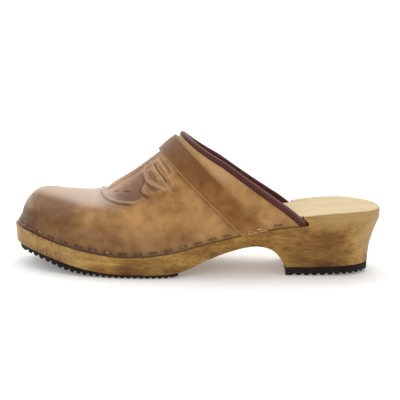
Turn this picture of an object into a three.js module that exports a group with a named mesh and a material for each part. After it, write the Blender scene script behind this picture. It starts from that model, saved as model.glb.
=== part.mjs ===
// A backless leather clog for the left foot: a carved wooden sole with a heel, ribbed rubber treads,
// a leather upper stapled into a rebate of the wood, an instep strap and a bound collar.
// Millimetres. The toe points to -X, the outer side to -Y, the sole stands on z = 0.

import * as THREE from 'three';
import { mergeVertices } from 'three/addons/utils/BufferGeometryUtils.js';

// Driving sizes of the sole
const length = 257.2;
const ballWidth = 95;
const heelWidth = 66;
const heelHeight = 46.5;
const ballHeight = 21.5;
const toeSpring = 13.1;
const rebateHeight = 7;
const footbedDish = 2.5;
const rimRound = 1.6;
const toeShelf = 1.2;
const sideShelf = 0.3;
const breastSkew = 5;

// Driving sizes of the upper
const toeHeight = 53.7;
const instepHeight = 94.3;
const leatherWall = 2.5;
const toeFan = 18;
const toeLean = 3.4;
const sideLean = 0.5;

// Strap, binding and fastenings
const strapThickness = 2.2;
const bindingWidth = 5;
const throatBindingWidth = 2.6;
const bindingThickness = 1.2;
const stapleSpacing = 10.3;
const stapleCrown = 4.6;
const stapleWidth = 1.1;
const stapleThickness = 0.6;
const stapleRise = 2.7;
const strapStapleSpacing = 6.8;

// Treads
const frontTreadGauge = 2;
const heelTreadGauge = 5.3;
const heelRise = 2;
const frontRibPitch = 4.4;
const heelRibPitch = 5.6;
const ribDepth = 1.1;
const ribProfile = { land: 0.52, floorStart: 0.62, floorEnd: 0.9 };
// Shares of the length that stay plain at the ends of the two treads
const plainEnd = { tip: 0.012, ball: 0.02, breast: 0.008, heel: 0.015 };
const tipSetback = 2;
const tipSpan = 0.06;

// The gap between neighbouring solids
const clearance = 0.3;

// Plan outline of the last. Station is the share of its length from the toe tip. Outer and inner are
// shares of the local width, which goes from the ball's to the heel's as heel goes from 0 to 1.
const outlineTable = [
  { station: 0.0, outer: 0.479, inner: 0.463, heel: 0.0 },
  { station: 0.3, outer: 0.503, inner: 0.489, heel: 0.0 },
  { station: 0.34, outer: 0.505, inner: 0.481, heel: 0.0 },
  { station: 0.4, outer: 0.503, inner: 0.467, heel: 0.08 },
  { station: 0.46, outer: 0.501, inner: 0.455, heel: 0.27 },
  { station: 0.52, outer: 0.5, inner: 0.449, heel: 0.49 },
  { station: 0.58, outer: 0.497, inner: 0.443, heel: 0.68 },
  { station: 0.64, outer: 0.495, inner: 0.446, heel: 0.84 },
  { station: 0.7, outer: 0.497, inner: 0.461, heel: 0.95 },
  { station: 0.76, outer: 0.5, inner: 0.473, heel: 1.0 },
  { station: 0.82, outer: 0.5, inner: 0.488, heel: 1.0 },
  { station: 0.88, outer: 0.5, inner: 0.5, heel: 1.0 },
  { station: 1.0, outer: 0.5, inner: 0.5, heel: 1.0 },
];
const toeCap = { reach: 0.3, power: 2.15 };
const heelCap = { reach: 0.16, power: 2.3 };
const toeTurnIn = 0.042;
const skewSpan = { from: 0.6, to: 0.97 };

// Height of the footbed's rim: shares of the toe spring, and of the rise from ball to heel
const rimTable = [
  { station: 0.0, toe: 1.0, heel: 0.0 },
  { station: 0.03, toe: 0.91, heel: 0.0 },
  { station: 0.077, toe: 0.665, heel: 0.0 },
  { station: 0.123, toe: 0.44, heel: 0.0 },
  { station: 0.173, toe: 0.25, heel: 0.0 },
  { station: 0.248, toe: 0.05, heel: 0.0 },
  { station: 0.303, toe: 0.0, heel: 0.0 },
  { station: 0.35, toe: 0.0, heel: 0.034 },
  { station: 0.397, toe: 0.0, heel: 0.094 },
  { station: 0.463, toe: 0.0, heel: 0.245 },
  { station: 0.523, toe: 0.0, heel: 0.395 },
  { station: 0.58, toe: 0.0, heel: 0.523 },
  { station: 0.638, toe: 0.0, heel: 0.647 },
  { station: 0.697, toe: 0.0, heel: 0.757 },
  { station: 0.775, toe: 0.0, heel: 0.855 },
  { station: 0.82, toe: 0.0, heel: 0.92 },
  { station: 0.875, toe: 0.0, heel: 0.972 },
  { station: 0.93, toe: 0.0, heel: 1.0 },
  { station: 1.0, toe: 0.0, heel: 1.0 },
];

// Underside of the wood: shares of the toe spring and of the heel height, over the treads
const undersideTable = [
  { station: 0.0, toe: 1.04, heel: 0.0 },
  { station: 0.045, toe: 0.855, heel: 0.0 },
  { station: 0.095, toe: 0.6, heel: 0.0 },
  { station: 0.145, toe: 0.355, heel: 0.0 },
  { station: 0.2, toe: 0.15, heel: 0.0 },
  { station: 0.267, toe: 0.02, heel: 0.0 },
  { station: 0.33, toe: 0.0, heel: 0.0 },
  { station: 0.4, toe: 0.0, heel: 0.004 },
  { station: 0.437, toe: 0.0, heel: 0.03 },
  { station: 0.472, toe: 0.0, heel: 0.095 },
  { station: 0.493, toe: 0.0, heel: 0.15 },
  { station: 0.535, toe: 0.0, heel: 0.25 },
  { station: 0.58, toe: 0.0, heel: 0.335 },
  { station: 0.624, toe: 0.0, heel: 0.392 },
  { station: 0.645, toe: 0.0, heel: 0.402 },
  { station: 0.668, toe: 0.0, heel: 0.388 },
  { station: 0.692, toe: 0.0, heel: 0.342 },
  { station: 0.705, toe: 0.0, heel: 0.285 },
  { station: 0.718, toe: 0.0, heel: 0.2 },
  { station: 0.733, toe: 0.0, heel: 0.07 },
];
const frontTreadEnd = 0.437;
const breastStart = 0.7;
const heelTreadStart = 0.733;
const heelFlatEnd = 0.79;

// Bottom of the front tread, as shares of the toe spring and of the tread's own gauge
const treadTable = [
  { station: 0.0, toe: 0.84, lift: 0.0 },
  { station: 0.045, toe: 0.735, lift: 0.0 },
  { station: 0.088, toe: 0.505, lift: 0.0 },
  { station: 0.13, toe: 0.24, lift: 0.0 },
  { station: 0.175, toe: 0.09, lift: 0.0 },
  { station: 0.22, toe: 0.03, lift: 0.0 },
  { station: 0.265, toe: 0.0, lift: 0.0 },
  { station: 0.4, toe: 0.0, lift: 0.0 },
  { station: 0.437, toe: 0.0, lift: 0.9 },
];

// How far the side of the sole draws in towards the floor, as a share of the heel width. The full
// amount is reached at 1 / waist of the way down.
const waist = 1.4;
const taperTable = [
  { station: 0.0, inset: 0.024 },
  { station: 0.3, inset: 0.026 },
  { station: 0.5, inset: 0.05 },
  { station: 0.7, inset: 0.07 },
  { station: 1.0, inset: 0.103 },
];

// Crown of the upper: height as a share of the rise from toe box to instep, side as a share of the
// ball's width towards the inner side, roundness as the power of the section's superellipse
const crownTable = [
  { station: 0.07, rise: -0.015, side: 0.05, roundness: 1.6 },
  { station: 0.09, rise: 0.0, side: 0.052, roundness: 1.68 },
  { station: 0.145, rise: -0.033, side: 0.055, roundness: 1.85 },
  { station: 0.2, rise: -0.05, side: 0.055, roundness: 1.9 },
  { station: 0.225, rise: -0.033, side: 0.055, roundness: 1.9 },
  { station: 0.248, rise: 0.0, side: 0.055, roundness: 1.88 },
  { station: 0.268, rise: 0.09, side: 0.055, roundness: 1.85 },
  { station: 0.306, rise: 0.25, side: 0.052, roundness: 1.8 },
  { station: 0.345, rise: 0.435, side: 0.048, roundness: 1.72 },
  { station: 0.378, rise: 0.605, side: 0.043, roundness: 1.65 },
  { station: 0.415, rise: 0.825, side: 0.036, roundness: 1.55 },
  { station: 0.447, rise: 1.0, side: 0.03, roundness: 1.5 },
  { station: 0.463, rise: 1.085, side: 0.027, roundness: 1.5 },
  { station: 0.486, rise: 1.175, side: 0.022, roundness: 1.5 },
  { station: 0.52, rise: 1.25, side: 0.015, roundness: 1.5 },
  { station: 0.56, rise: 1.28, side: 0.01, roundness: 1.5 },
  { station: 1.0, rise: 1.28, side: 0.0, roundness: 1.5 },
];

// Edge of the leather at the collar, as a share of its drop from the instep to the ledge at its end
const collarTable = [
  { station: 0.43, height: 1.06 },
  { station: 0.447, height: 1.0 },
  { station: 0.456, height: 0.967 },
  { station: 0.482, height: 0.882 },
  { station: 0.518, height: 0.783 },
  { station: 0.554, height: 0.694 },
  { station: 0.597, height: 0.566 },
  { station: 0.63, height: 0.467 },
  { station: 0.699, height: 0.26 },
  { station: 0.731, height: 0.165 },
  { station: 0.777, height: 0.0 },
  { station: 0.85, height: -0.26 },
];
const collarEnd = 0.777;
const collarEndHeight = 2;
const innerCollarDrop = 1.3;
const collarNormal = { run: 0.57, fall: 0.82 };
const throatSearch = { from: 0.38, to: 0.5 };

// Side edges of the instep strap: the station where each one reaches the ledge, how far it runs
// towards the toe for each millimetre of height, and how far its middle bows that way
const strapFront = { foot: 0.603, run: 1.064, bow: 0.9 };
const strapBack = { foot: 0.674, run: 1.055, bow: 1.6 };

// Materials
const woodColour = 0xb8935a;
const leatherColour = 0x9a754b;
const strapColour = 0x8a6238;
const bindingColour = 0x4b2b24;
const rubberColour = 0x231e1b;
const steelColour = 0xd9d4c8;

function material(color, roughness, metalness = 0) {
  return new THREE.MeshStandardMaterial({ color, roughness, metalness });
}

// Smooth interpolation of one column of a table, without overshoot between the rows
function lookup(table, column, station) {
  const last = table.length - 1;
  if (station <= table[0].station) return table[0][column];
  if (station >= table[last].station) return table[last][column];
  let i = 0;
  while (station > table[i + 1].station) i += 1;
  const gain = (k) => table[k + 1][column] - table[k][column];
  const slope = (k) => gain(k) / (table[k + 1].station - table[k].station);
  const tangent = (k) => {
    if (k === 0) return slope(0);
    if (k === last) return slope(last - 1);
    const before = slope(k - 1);
    const after = slope(k);
    return before * after <= 0 ? 0 : (2 * before * after) / (before + after);
  };
  const span = table[i + 1].station - table[i].station;
  const t = (station - table[i].station) / span;
  const a = table[i][column];
  const b = table[i + 1][column];
  return (
    a * (1 + 2 * t) * (1 - t) ** 2 +
    span * tangent(i) * t * (1 - t) ** 2 +
    b * t * t * (3 - 2 * t) +
    span * tangent(i + 1) * t * t * (t - 1)
  );
}

const mix = (a, b, t) => a + (b - a) * t;
const clamp = (value, low, high) => Math.min(high, Math.max(low, value));
const lastLength = length - toeShelf;
const stationOf = (x) => (x + length / 2 - toeShelf) / lastLength;
const xOf = (station) => station * lastLength + toeShelf - length / 2;

// Bisection for the place where a rising function passes zero
function crossing(f, low, high) {
  for (let k = 0; k < 40; k += 1) {
    const middle = (low + high) / 2;
    if (f(middle) > 0) high = middle;
    else low = middle;
  }
  return (low + high) / 2;
}

// Stations from one share to another, closer together at the start when power is over 1
function spaced(from, to, count, power = 1) {
  return Array.from({ length: count + 1 }, (_, k) => mix(from, to, (k / count) ** power));
}

function merged(...lists) {
  const sorted = lists.flat().sort((a, b) => a - b);
  const nearest = 0.0008;
  return sorted.filter((value, k) => k === 0 || value - sorted[k - 1] > nearest);
}

// Plan outline of the sole. side is -1 on the outer side and +1 on the inner side.
function outlinePoint(station, side) {
  const width = mix(ballWidth, heelWidth, lookup(outlineTable, 'heel', station));
  const share = lookup(outlineTable, side < 0 ? 'outer' : 'inner', station);
  let cap = 1;
  if (station < toeCap.reach) {
    cap = (1 - (1 - station / toeCap.reach) ** toeCap.power) ** (1 / toeCap.power);
  }
  if (1 - station < heelCap.reach) {
    cap = (1 - (1 - (1 - station) / heelCap.reach) ** heelCap.power) ** (1 / heelCap.power);
  }
  const turnIn = toeTurnIn * ballWidth * clamp(1 - station / toeCap.reach, 0, 1) ** 2;
  return new THREE.Vector2(xOf(station), side * width * share * cap + turnIn);
}

// Outward direction of the outline in plan
function outlineNormal(station, side) {
  if (station <= 0) return new THREE.Vector2(-1, 0);
  if (station >= 1) return new THREE.Vector2(1, 0);
  const step = Math.min(0.002, station / 3, (1 - station) / 3);
  const along = outlinePoint(station + step, side).sub(outlinePoint(station - step, side));
  return new THREE.Vector2(-along.y * side, along.x * side).normalize();
}

const insetPoint = (station, side, inset) =>
  outlinePoint(station, side).addScaledVector(outlineNormal(station, side), -inset);

// How far the wood stands out past the last's outline: a shelf around the toe, flush along the sides
function shelf(station) {
  const share = clamp(station / (toeCap.reach / 2), 0, 1);
  return mix(toeShelf, sideShelf, share * (2 - share));
}

// Heights along the sole
function rimHeight(station) {
  return (
    ballHeight +
    toeSpring * lookup(rimTable, 'toe', station) +
    (heelHeight - ballHeight) * lookup(rimTable, 'heel', station)
  );
}

const ledgeHeight = (station) => rimHeight(station) - rebateHeight;

// The heel's bottom is flat behind its front edge, and then rises a little to the back
const heelLift = (station) => heelRise * Math.max(0, (station - heelFlatEnd) / (1 - heelFlatEnd));

function undersideHeight(station) {
  const onHeel = heelTreadGauge + clearance + heelLift(station);
  if (station >= heelTreadStart) return onHeel;
  const shares = ['toe', 'heel'].map((column) => lookup(undersideTable, column, station));
  const onTable = frontTreadGauge + toeSpring * shares[0] + heelHeight * shares[1];
  const share = clamp((station - breastStart) / (heelTreadStart - breastStart), 0, 1);
  return Math.max(onTable, onHeel * share);
}

// Inward lean of the side of the sole at a height, with the waisted look of a carved heel
function sideInset(station, height) {
  const top = ledgeHeight(station);
  const depth = clamp((waist * (top - height)) / top, 0, 1);
  const taper = lookup(taperTable, 'inset', station) * heelWidth;
  return taper * Math.sin((depth * Math.PI) / 2) - shelf(station);
}

// The leather's outer surface. A meridian climbs from the ledge at one station of the outline to the
// crown: a nearly upright part beside the wood, then an arch. The way t runs from 0 to 1 along it.
const uprightWay = 0.16;

function lean(station) {
  return mix(toeLean, sideLean, clamp(station / (toeCap.reach / 2), 0, 1));
}

function crownPoint(station) {
  const fan = toeFan * clamp(1 - station / toeCap.reach, 0, 1) ** 1.5;
  const x = xOf(station) + fan;
  const at = stationOf(x);
  return new THREE.Vector3(
    x,
    lookup(crownTable, 'side', at) * ballWidth,
    mix(toeHeight, instepHeight, lookup(crownTable, 'rise', at)),
  );
}

function leatherPoint(station, side, t) {
  const foot = insetPoint(station, side, 0);
  const shoulder = insetPoint(station, side, lean(station));
  const base = ledgeHeight(station) + clearance;
  const shoulderHeight = ledgeHeight(station) + rebateHeight;
  if (t <= uprightWay) {
    const share = t / uprightWay;
    const plan = foot.lerp(shoulder, share);
    return new THREE.Vector3(plan.x, plan.y, mix(base, shoulderHeight, share));
  }
  const crown = crownPoint(station);
  const angle = (((t - uprightWay) / (1 - uprightWay)) * Math.PI) / 2;
  const power = 2 / lookup(crownTable, 'roundness', stationOf(crown.x));
  const across = 1 - Math.max(Math.cos(angle), 0) ** power;
  const up = Math.sin(angle) ** power;
  return new THREE.Vector3(
    mix(shoulder.x, crown.x, across),
    mix(shoulder.y, crown.y, across),
    mix(shoulderHeight, crown.z, up),
  );
}

function sideNormal(station, side, t) {
  const step = 0.002;
  const lower = Math.max(t - step, 0);
  const upper = Math.min(t + step, 1);
  const back = Math.max(station - step, 0);
  const along = leatherPoint(station + step, side, t).sub(leatherPoint(back, side, t));
  const climb = leatherPoint(station, side, upper).sub(leatherPoint(station, side, lower));
  return new THREE.Vector3().crossVectors(climb, along).multiplyScalar(side).normalize();
}

// Outward direction of the leather's surface. Both sides share one direction on the crown.
function leatherNormal(station, side, t) {
  const nearCrown = 0.994;
  if (t < nearCrown) return sideNormal(station, side, t);
  return sideNormal(station, -1, nearCrown).add(sideNormal(station, 1, nearCrown)).normalize();
}

// The way t on the meridian at which the leather has a given height
function wayAtHeight(station, height) {
  const base = ledgeHeight(station) + clearance;
  const shoulder = ledgeHeight(station) + rebateHeight;
  if (height <= shoulder) return (uprightWay * (height - base)) / (shoulder - base);
  const crown = crownPoint(station);
  const roundness = lookup(crownTable, 'roundness', stationOf(crown.x));
  const share = clamp((height - shoulder) / (crown.z - shoulder), 0, 1);
  const angle = Math.asin(share ** (roundness / 2));
  return uprightWay + ((1 - uprightWay) * angle) / (Math.PI / 2);
}

// Height of the collar's edge, moved into the leather by drop
function collarHeight(x, side, drop = 0) {
  const station = stationOf(x + collarNormal.run * drop);
  const bottom = ledgeHeight(collarEnd) + collarEndHeight;
  const share = lookup(collarTable, 'height', station);
  const lowered = side > 0 ? innerCollarDrop * Math.sin(Math.PI * clamp(share, 0, 1)) : 0;
  return mix(bottom, instepHeight, share) - lowered - collarNormal.fall * drop;
}

// How far the binding reaches down the leather, from the throat (way 0) to its ends (way 1 or -1)
const bindingReach = (way) => mix(throatBindingWidth, bindingWidth, Math.abs(way));

// Where the collar's edge, moved into the leather by drop, passes a height
function collarX(height, side, drop) {
  const above = (x) => height - collarHeight(x, side, drop);
  return crossing(above, xOf(throatSearch.from), xOf(collarEnd));
}

// Where the collar's edge, moved into the leather by drop, crosses the crown
function throatX(drop = 0) {
  const above = (x) => crownPoint(stationOf(x)).z - collarHeight(x, -1, drop);
  return crossing(above, xOf(throatSearch.from), xOf(throatSearch.to));
}

// A closed mesh from quads: equal corners are merged, flat quads dropped, and faces turned outwards
const weldDistance = 0.002;

class Shell {
  constructor() {
    this.corners = [];
  }

  triangle(a, b, c) {
    this.corners.push(a, b, c);
  }

  quad(a, b, c, d) {
    this.triangle(a, b, c);
    this.triangle(a, c, d);
  }

  // Quads between successive rows of points
  grid(rows, closed = false) {
    for (let i = 0; i + 1 < rows.length; i += 1) {
      const count = rows[i].length;
      for (let k = 0; k < (closed ? count : count - 1); k += 1) {
        const next = (k + 1) % count;
        this.quad(rows[i][k], rows[i][next], rows[i + 1][next], rows[i + 1][k]);
      }
    }
  }

  geometry() {
    const soup = new THREE.BufferGeometry().setFromPoints(this.corners);
    const joined = mergeVertices(soup, weldDistance);
    const index = joined.index.array;
    const kept = [];
    for (let k = 0; k < index.length; k += 3) {
      const [a, b, c] = [index[k], index[k + 1], index[k + 2]];
      if (a !== b && b !== c && c !== a) kept.push(a, b, c);
    }
    joined.setIndex(kept);
    const place = joined.getAttribute('position');
    const [a, b, c] = [0, 1, 2].map(() => new THREE.Vector3());
    let volume = 0;
    for (let k = 0; k < kept.length; k += 3) {
      a.fromBufferAttribute(place, kept[k]);
      b.fromBufferAttribute(place, kept[k + 1]);
      c.fromBufferAttribute(place, kept[k + 2]);
      volume += a.dot(b.cross(c));
    }
    if (volume < 0) joined.setIndex(kept.reverse());
    joined.computeVertexNormals();
    return joined;
  }
}

function mesh(name, shell, look) {
  const made = new THREE.Mesh(shell.geometry(), look);
  made.name = name;
  return made;
}

const at = (plan, height) => new THREE.Vector3(plan.x, plan.y, height);

// The front of the heel lies further back on the inner side, by breastSkew at its foot
function skewed(station, side, share) {
  if (side < 0 || station <= skewSpan.from || station >= skewSpan.to) return station;
  const before = clamp((station - skewSpan.from) / (heelTreadStart - skewSpan.from), 0, 1);
  const after = clamp((skewSpan.to - station) / (skewSpan.to - heelTreadStart), 0, 1);
  return station + ((share * breastSkew) / lastLength) * before ** 2 * (3 - 2 * before) * after;
}

// A point of one layer of the sole, on its outer side or its inner side
function layerPoint(station, side, layer) {
  const place = skewed(station, side, layer.skew ?? 0);
  return at(insetPoint(place, side, layer.inset(station)), layer.height(station));
}

// Points across the sole at one station, between the two sides of a layer
function crossRow(station, layer, columns, dish = 0) {
  const outer = layerPoint(station, -1, layer);
  const inner = layerPoint(station, 1, layer);
  return spaced(0, 1, columns).map((share) => {
    const point = outer.clone().lerp(inner, share);
    const depth = dish * 4 * share * (1 - share) * Math.min(1, (inner.y - outer.y) / heelWidth);
    point.z -= depth;
    return point;
  });
}

// A solid of stacked layers, closed below and above by rows across it. A station list that does not
// start or end at a tip of the outline gives a flat cut there.
function stacked(stations, layers, columns, dish = 0) {
  const shell = new Shell();
  const bottom = layers[0];
  const top = layers[layers.length - 1];
  shell.grid(stations.map((station) => crossRow(station, bottom, columns)));
  shell.grid(stations.map((station) => crossRow(station, top, columns, dish).reverse()));
  for (const side of [-1, 1]) {
    const wall = layers.map((layer) => stations.map((station) => layerPoint(station, side, layer)));
    shell.grid(side < 0 ? wall : wall.map((row) => row.reverse()));
  }
  const [first, last] = [stations[0], stations[stations.length - 1]];
  if (first > 0) {
    shell.grid([crossRow(first, top, columns, dish), crossRow(first, bottom, columns)]);
  }
  if (last < 1) {
    shell.grid([crossRow(last, bottom, columns), crossRow(last, top, columns, dish)]);
  }
  return shell;
}

// Wooden sole. The rebate is deeper beside the collar's end, where the binding's inner leg needs room.
function buildWoodSole() {
  const pocketStart = collarEnd - 0.075;
  const pocketRamp = 0.012;
  const jumpWidth = 0.001;
  const behindBreast = 0.004;
  const shank = { from: 0.46, to: 0.66 };
  const edge = bindingThickness + 2 * clearance;
  const rebateEnd = collarEnd + (edge + clearance) / lastLength;
  const collarTop = (station) => collarHeight(xOf(station), -1) + edge / collarNormal.fall;
  const notchStart = crossing(
    (station) => rimHeight(station) - rimRound - collarTop(station),
    pocketStart,
    rebateEnd,
  );

  const depth = (station) => {
    if (station > rebateEnd) return -shelf(station);
    const pocket = clamp((station - pocketStart) / pocketRamp, 0, 1);
    return leatherWall + clearance + pocket * (bindingThickness + clearance);
  };
  const leant = (station) => depth(station) + (station > rebateEnd ? 0 : lean(station));
  const rim = (station) => (station > notchStart ? -shelf(station) : leant(station));
  const notchTop = (station) => {
    if (station > rebateEnd) return ledgeHeight(station);
    return Math.max(Math.min(rimHeight(station) - rimRound, collarTop(station)), ledgeHeight(station));
  };
  const above = (share) => (station) => mix(undersideHeight(station), ledgeHeight(station), share);
  const wall = (share) => ({
    inset: (station) => sideInset(station, above(share)(station)),
    height: above(share),
    skew: 1 - share,
  });
  const layers = [
    wall(0),
    wall(0.3),
    wall(0.6),
    { inset: (station) => -shelf(station), height: ledgeHeight },
    { inset: depth, height: ledgeHeight },
    { inset: leant, height: notchTop },
    { inset: rim, height: notchTop },
    { inset: rim, height: (station) => rimHeight(station) - rimRound },
    { inset: (station) => rim(station) + rimRound, height: rimHeight },
  ];
  const stations = merged(
    spaced(0, toeCap.reach, 13, 2),
    spaced(toeCap.reach, shank.from, 6),
    spaced(shank.from, shank.to, 8),
    spaced(shank.to, heelTreadStart, 6),
    [pocketStart, pocketStart + pocketRamp],
    [notchStart, rebateEnd],
    spaced(heelTreadStart + behindBreast, 1 - heelCap.reach, 4),
    spaced(1, 1 - heelCap.reach, 9, 2),
  );
  for (const jump of [notchStart, rebateEnd]) stations.push(jump + jumpWidth);
  stations.sort((a, b) => a - b);
  return mesh('wood_sole', stacked(stations, layers, 8, footbedDish), material(woodColour, 0.55));
}

// Rubber treads. Ribs run across: each pitch has a land, and a groove between sloping sides.
function ribStations(from, to, pitch) {
  const count = Math.round(((to - from) * length) / pitch);
  const step = (to - from) / count;
  const { land, floorStart, floorEnd } = ribProfile;
  const list = [];
  for (let k = 0; k < count; k += 1) {
    for (const share of [0, land, floorStart, floorEnd]) list.push(from + (k + share) * step);
  }
  return { list: [...list, to], groove: (station) => grooveDepth((station - from) / step) };
}

function grooveDepth(position) {
  const near = 0.02;
  const share = position - Math.floor(position + near);
  return share > ribProfile.floorStart - near && share < ribProfile.floorEnd + near ? ribDepth : 0;
}

function buildFrontTread() {
  const span = { from: plainEnd.tip, to: frontTreadEnd - plainEnd.ball };
  const ribs = ribStations(span.from, span.to, frontRibPitch);
  const setback = (station) => tipSetback * clamp(1 - station / tipSpan, 0, 1);
  const behind = (station) =>
    station - (setback(station) * outlineNormal(station, 1).x) / lastLength;
  const top = (station) => undersideHeight(behind(station)) - clearance;
  const height = (station) => {
    const toe = toeSpring * lookup(treadTable, 'toe', station);
    const lift = (frontTreadGauge - clearance) * lookup(treadTable, 'lift', station);
    const inRibs = station >= span.from && station < span.to;
    const half = (top(station) - toe - lift) / 2;
    return toe + lift + (inRibs ? Math.min(ribs.groove(station), half) : 0);
  };
  const inset = (at) => (station) => sideInset(station, at(station)) + sideShelf + setback(station);
  const layers = [
    { inset: inset(height), height },
    { inset: inset(top), height: top },
  ];
  const stations = merged([0, 0.001, 0.004], ribs.list, [frontTreadEnd]);
  return mesh('tread_front', stacked(stations, layers, 4), material(rubberColour, 0.9));
}

function buildHeelTread() {
  const span = { from: heelTreadStart + plainEnd.breast, to: 1 - plainEnd.heel };
  const ribs = ribStations(span.from, span.to, heelRibPitch);
  const height = (station) => {
    const inRibs = station > span.from && station < span.to;
    return heelLift(station) + (inRibs ? ribs.groove(station) : 0);
  };
  const top = (station) => heelTreadGauge + heelLift(station);
  const inset = (at) => (station) => sideInset(station, at(station)) + sideShelf;
  const layers = [
    { inset: inset(height), height, skew: 1 },
    { inset: inset(top), height: top, skew: 1 },
  ];
  const stations = merged(ribs.list, [0.994, 0.998, 1]);
  return mesh('tread_heel', stacked(stations, layers, 4), material(rubberColour, 0.9));
}

// Leather upper: one wall, open at the collar and underneath
function buildUpper() {
  const rows = 13;
  const throat = stationOf(throatX());
  const stations = merged(
    spaced(0, toeCap.reach, 13, 2),
    spaced(toeCap.reach, throat, 7),
    spaced(throat, collarEnd, 17, 2),
  );
  const columns = [
    ...[...stations].reverse().map((station) => ({ station, side: -1 })),
    ...stations.slice(1).map((station) => ({ station, side: 1 })),
  ];
  for (const column of columns) {
    const { station, side } = column;
    column.open = station >= throat - 1e-6;
    const edge = wayAtHeight(station, collarHeight(xOf(station), side));
    const top = station <= throat + 1e-6 ? 1 : edge;
    const ways = spaced(0, top, rows);
    if (top > 1.5 * uprightWay) {
      ways[1] = uprightWay / 2;
      ways[2] = uprightWay;
      for (let k = 3; k <= rows; k += 1) ways[k] = mix(uprightWay, top, (k - 2) / (rows - 2));
    }
    column.outer = ways.map((way) => leatherPoint(station, side, way));
    column.inner = ways.map((way, k) => {
      const normal = leatherNormal(station, side, way);
      if (k === 0) normal.setZ(0).normalize();
      return column.outer[k].clone().addScaledVector(normal, -leatherWall);
    });
  }
  const shell = new Shell();
  shell.grid(columns.map((column) => column.outer));
  shell.grid(columns.map((column) => [...column.inner].reverse()));
  shell.grid(columns.map((column) => [column.inner[0], column.outer[0]]));
  for (let k = 0; k + 1 < columns.length; k += 1) {
    const pair = [columns[k], columns[k + 1]];
    if (pair.every((column) => column.open)) {
      shell.grid(pair.map((column) => [column.outer[rows], column.inner[rows]]));
    }
  }
  const ends = [columns[0], columns[columns.length - 1]];
  shell.grid([ends[0].inner, ends[0].outer]);
  shell.grid([ends[1].outer, ends[1].inner]);
  return mesh('upper', shell, material(leatherColour, 0.45));
}

// A point off the leather, found from its place in the side view
function sidePoint(x, height, side, offset) {
  const station = stationOf(x);
  const way = wayAtHeight(station, height);
  return leatherPoint(station, side, way).addScaledVector(leatherNormal(station, side, way), offset);
}

// Instep strap, lying on the leather between two lines of the side view
function buildStrap() {
  const across = 5;
  const along = 13;
  const crowding = 1.6;
  const edgeFoot = (edge) => ({ x: xOf(edge.foot), z: ledgeHeight(edge.foot) + clearance });
  const feet = [strapFront, strapBack].map(edgeFoot);
  const line = (share) => {
    const foot = { x: mix(feet[0].x, feet[1].x, share), z: mix(feet[0].z, feet[1].z, share) };
    const run = mix(strapFront.run, strapBack.run, share);
    const bow = mix(strapFront.bow, strapBack.bow, share);
    const rise = instepHeight - foot.z;
    const xAt = (height) => {
      const up = height - foot.z;
      return foot.x - run * up - bow * Math.sin((Math.PI * up) / rise);
    };
    const crownAt = (height) => height - crownPoint(stationOf(xAt(height))).z;
    const high = crossing(crownAt, foot.z, foot.z + length);
    return { xAt, low: foot.z, high };
  };
  const sheet = (offset) =>
    spaced(-1, 1, 2 * along).map((way) =>
      spaced(0, 1, across).map((share) => {
        const { xAt, low, high } = line(share);
        const height = mix(high, low, Math.abs(way) ** crowding);
        const side = way < 0 ? -1 : 1;
        const bound = collarX(height, side, throatBindingWidth + 2 * clearance);
        return sidePoint(Math.min(xAt(height), bound), height, side, offset);
      }),
    );
  const under = sheet(clearance);
  const over = sheet(clearance + strapThickness);
  const shell = new Shell();
  shell.grid(over);
  shell.grid(under.map((row) => [...row].reverse()));
  shell.grid(over.map((row, k) => [under[k][0], row[0]]));
  shell.grid(over.map((row, k) => [row[across], under[k][across]]));
  shell.grid([under[0], over[0]]);
  shell.grid([over[2 * along], under[2 * along]]);
  return mesh('instep_strap', shell, material(strapColour, 0.5));
}

// Binding: a folded strip with one leg on each face of the collar's edge
function buildBinding() {
  const steps = 22;
  const pastEnd = 0.05;
  const stripEnd = (drop, side) => {
    const start = throatX(drop);
    const overLedge = (x) =>
      ledgeHeight(stationOf(x)) + 2 * clearance - collarHeight(x, side, drop);
    return Math.min(xOf(collarEnd), crossing(overLedge, start, xOf(collarEnd + pastEnd)));
  };
  const edgeAt = (way, drop) => {
    const side = way < 0 ? -1 : 1;
    const x = mix(throatX(drop), stripEnd(drop, side), Math.abs(way) ** 2);
    const height = way === 0 ? crownPoint(stationOf(x)).z : collarHeight(x, side, drop);
    const station = stationOf(x);
    const climb = wayAtHeight(station, height);
    return { point: leatherPoint(station, side, climb), normal: leatherNormal(station, side, climb) };
  };
  const face = clearance + bindingThickness;
  const rings = spaced(-1, 1, 2 * steps).map((way) => {
    const edge = edgeAt(way, 0);
    const low = edgeAt(way, bindingReach(way));
    const down = low.point.clone().sub(edge.point).projectOnPlane(edge.normal).normalize();
    const off = (place, out, up) =>
      place.point.clone().addScaledVector(place.normal, out).addScaledVector(down, -up);
    return [
      off(low, face, 0),
      off(low, clearance, 0),
      off(edge, clearance, clearance),
      off(edge, -leatherWall - clearance, clearance),
      off(low, -leatherWall - clearance, 0),
      off(low, -leatherWall - face, 0),
      off(edge, -leatherWall - face, face * 0.6),
      off(edge, -leatherWall / 2, face),
      off(edge, face, face * 0.6),
    ];
  });
  const shell = new Shell();
  shell.grid(rings, true);
  for (const ring of [rings[0], [...rings[rings.length - 1]].reverse()]) {
    const flip = ring === rings[0];
    const corner = flip ? ring : [...ring].reverse();
    const faces = [
      [0, 1, 2, 8],
      [2, 3, 7, 8],
      [3, 4, 5, 6],
      [3, 6, 7],
    ];
    for (const list of faces) {
      const places = list.map((k) => corner[k]);
      if (flip) places.reverse();
      shell.triangle(places[0], places[1], places[2]);
      if (places.length === 4) shell.triangle(places[0], places[2], places[3]);
    }
  }
  return mesh('collar_binding', shell, material(bindingColour, 0.5));
}

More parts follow.
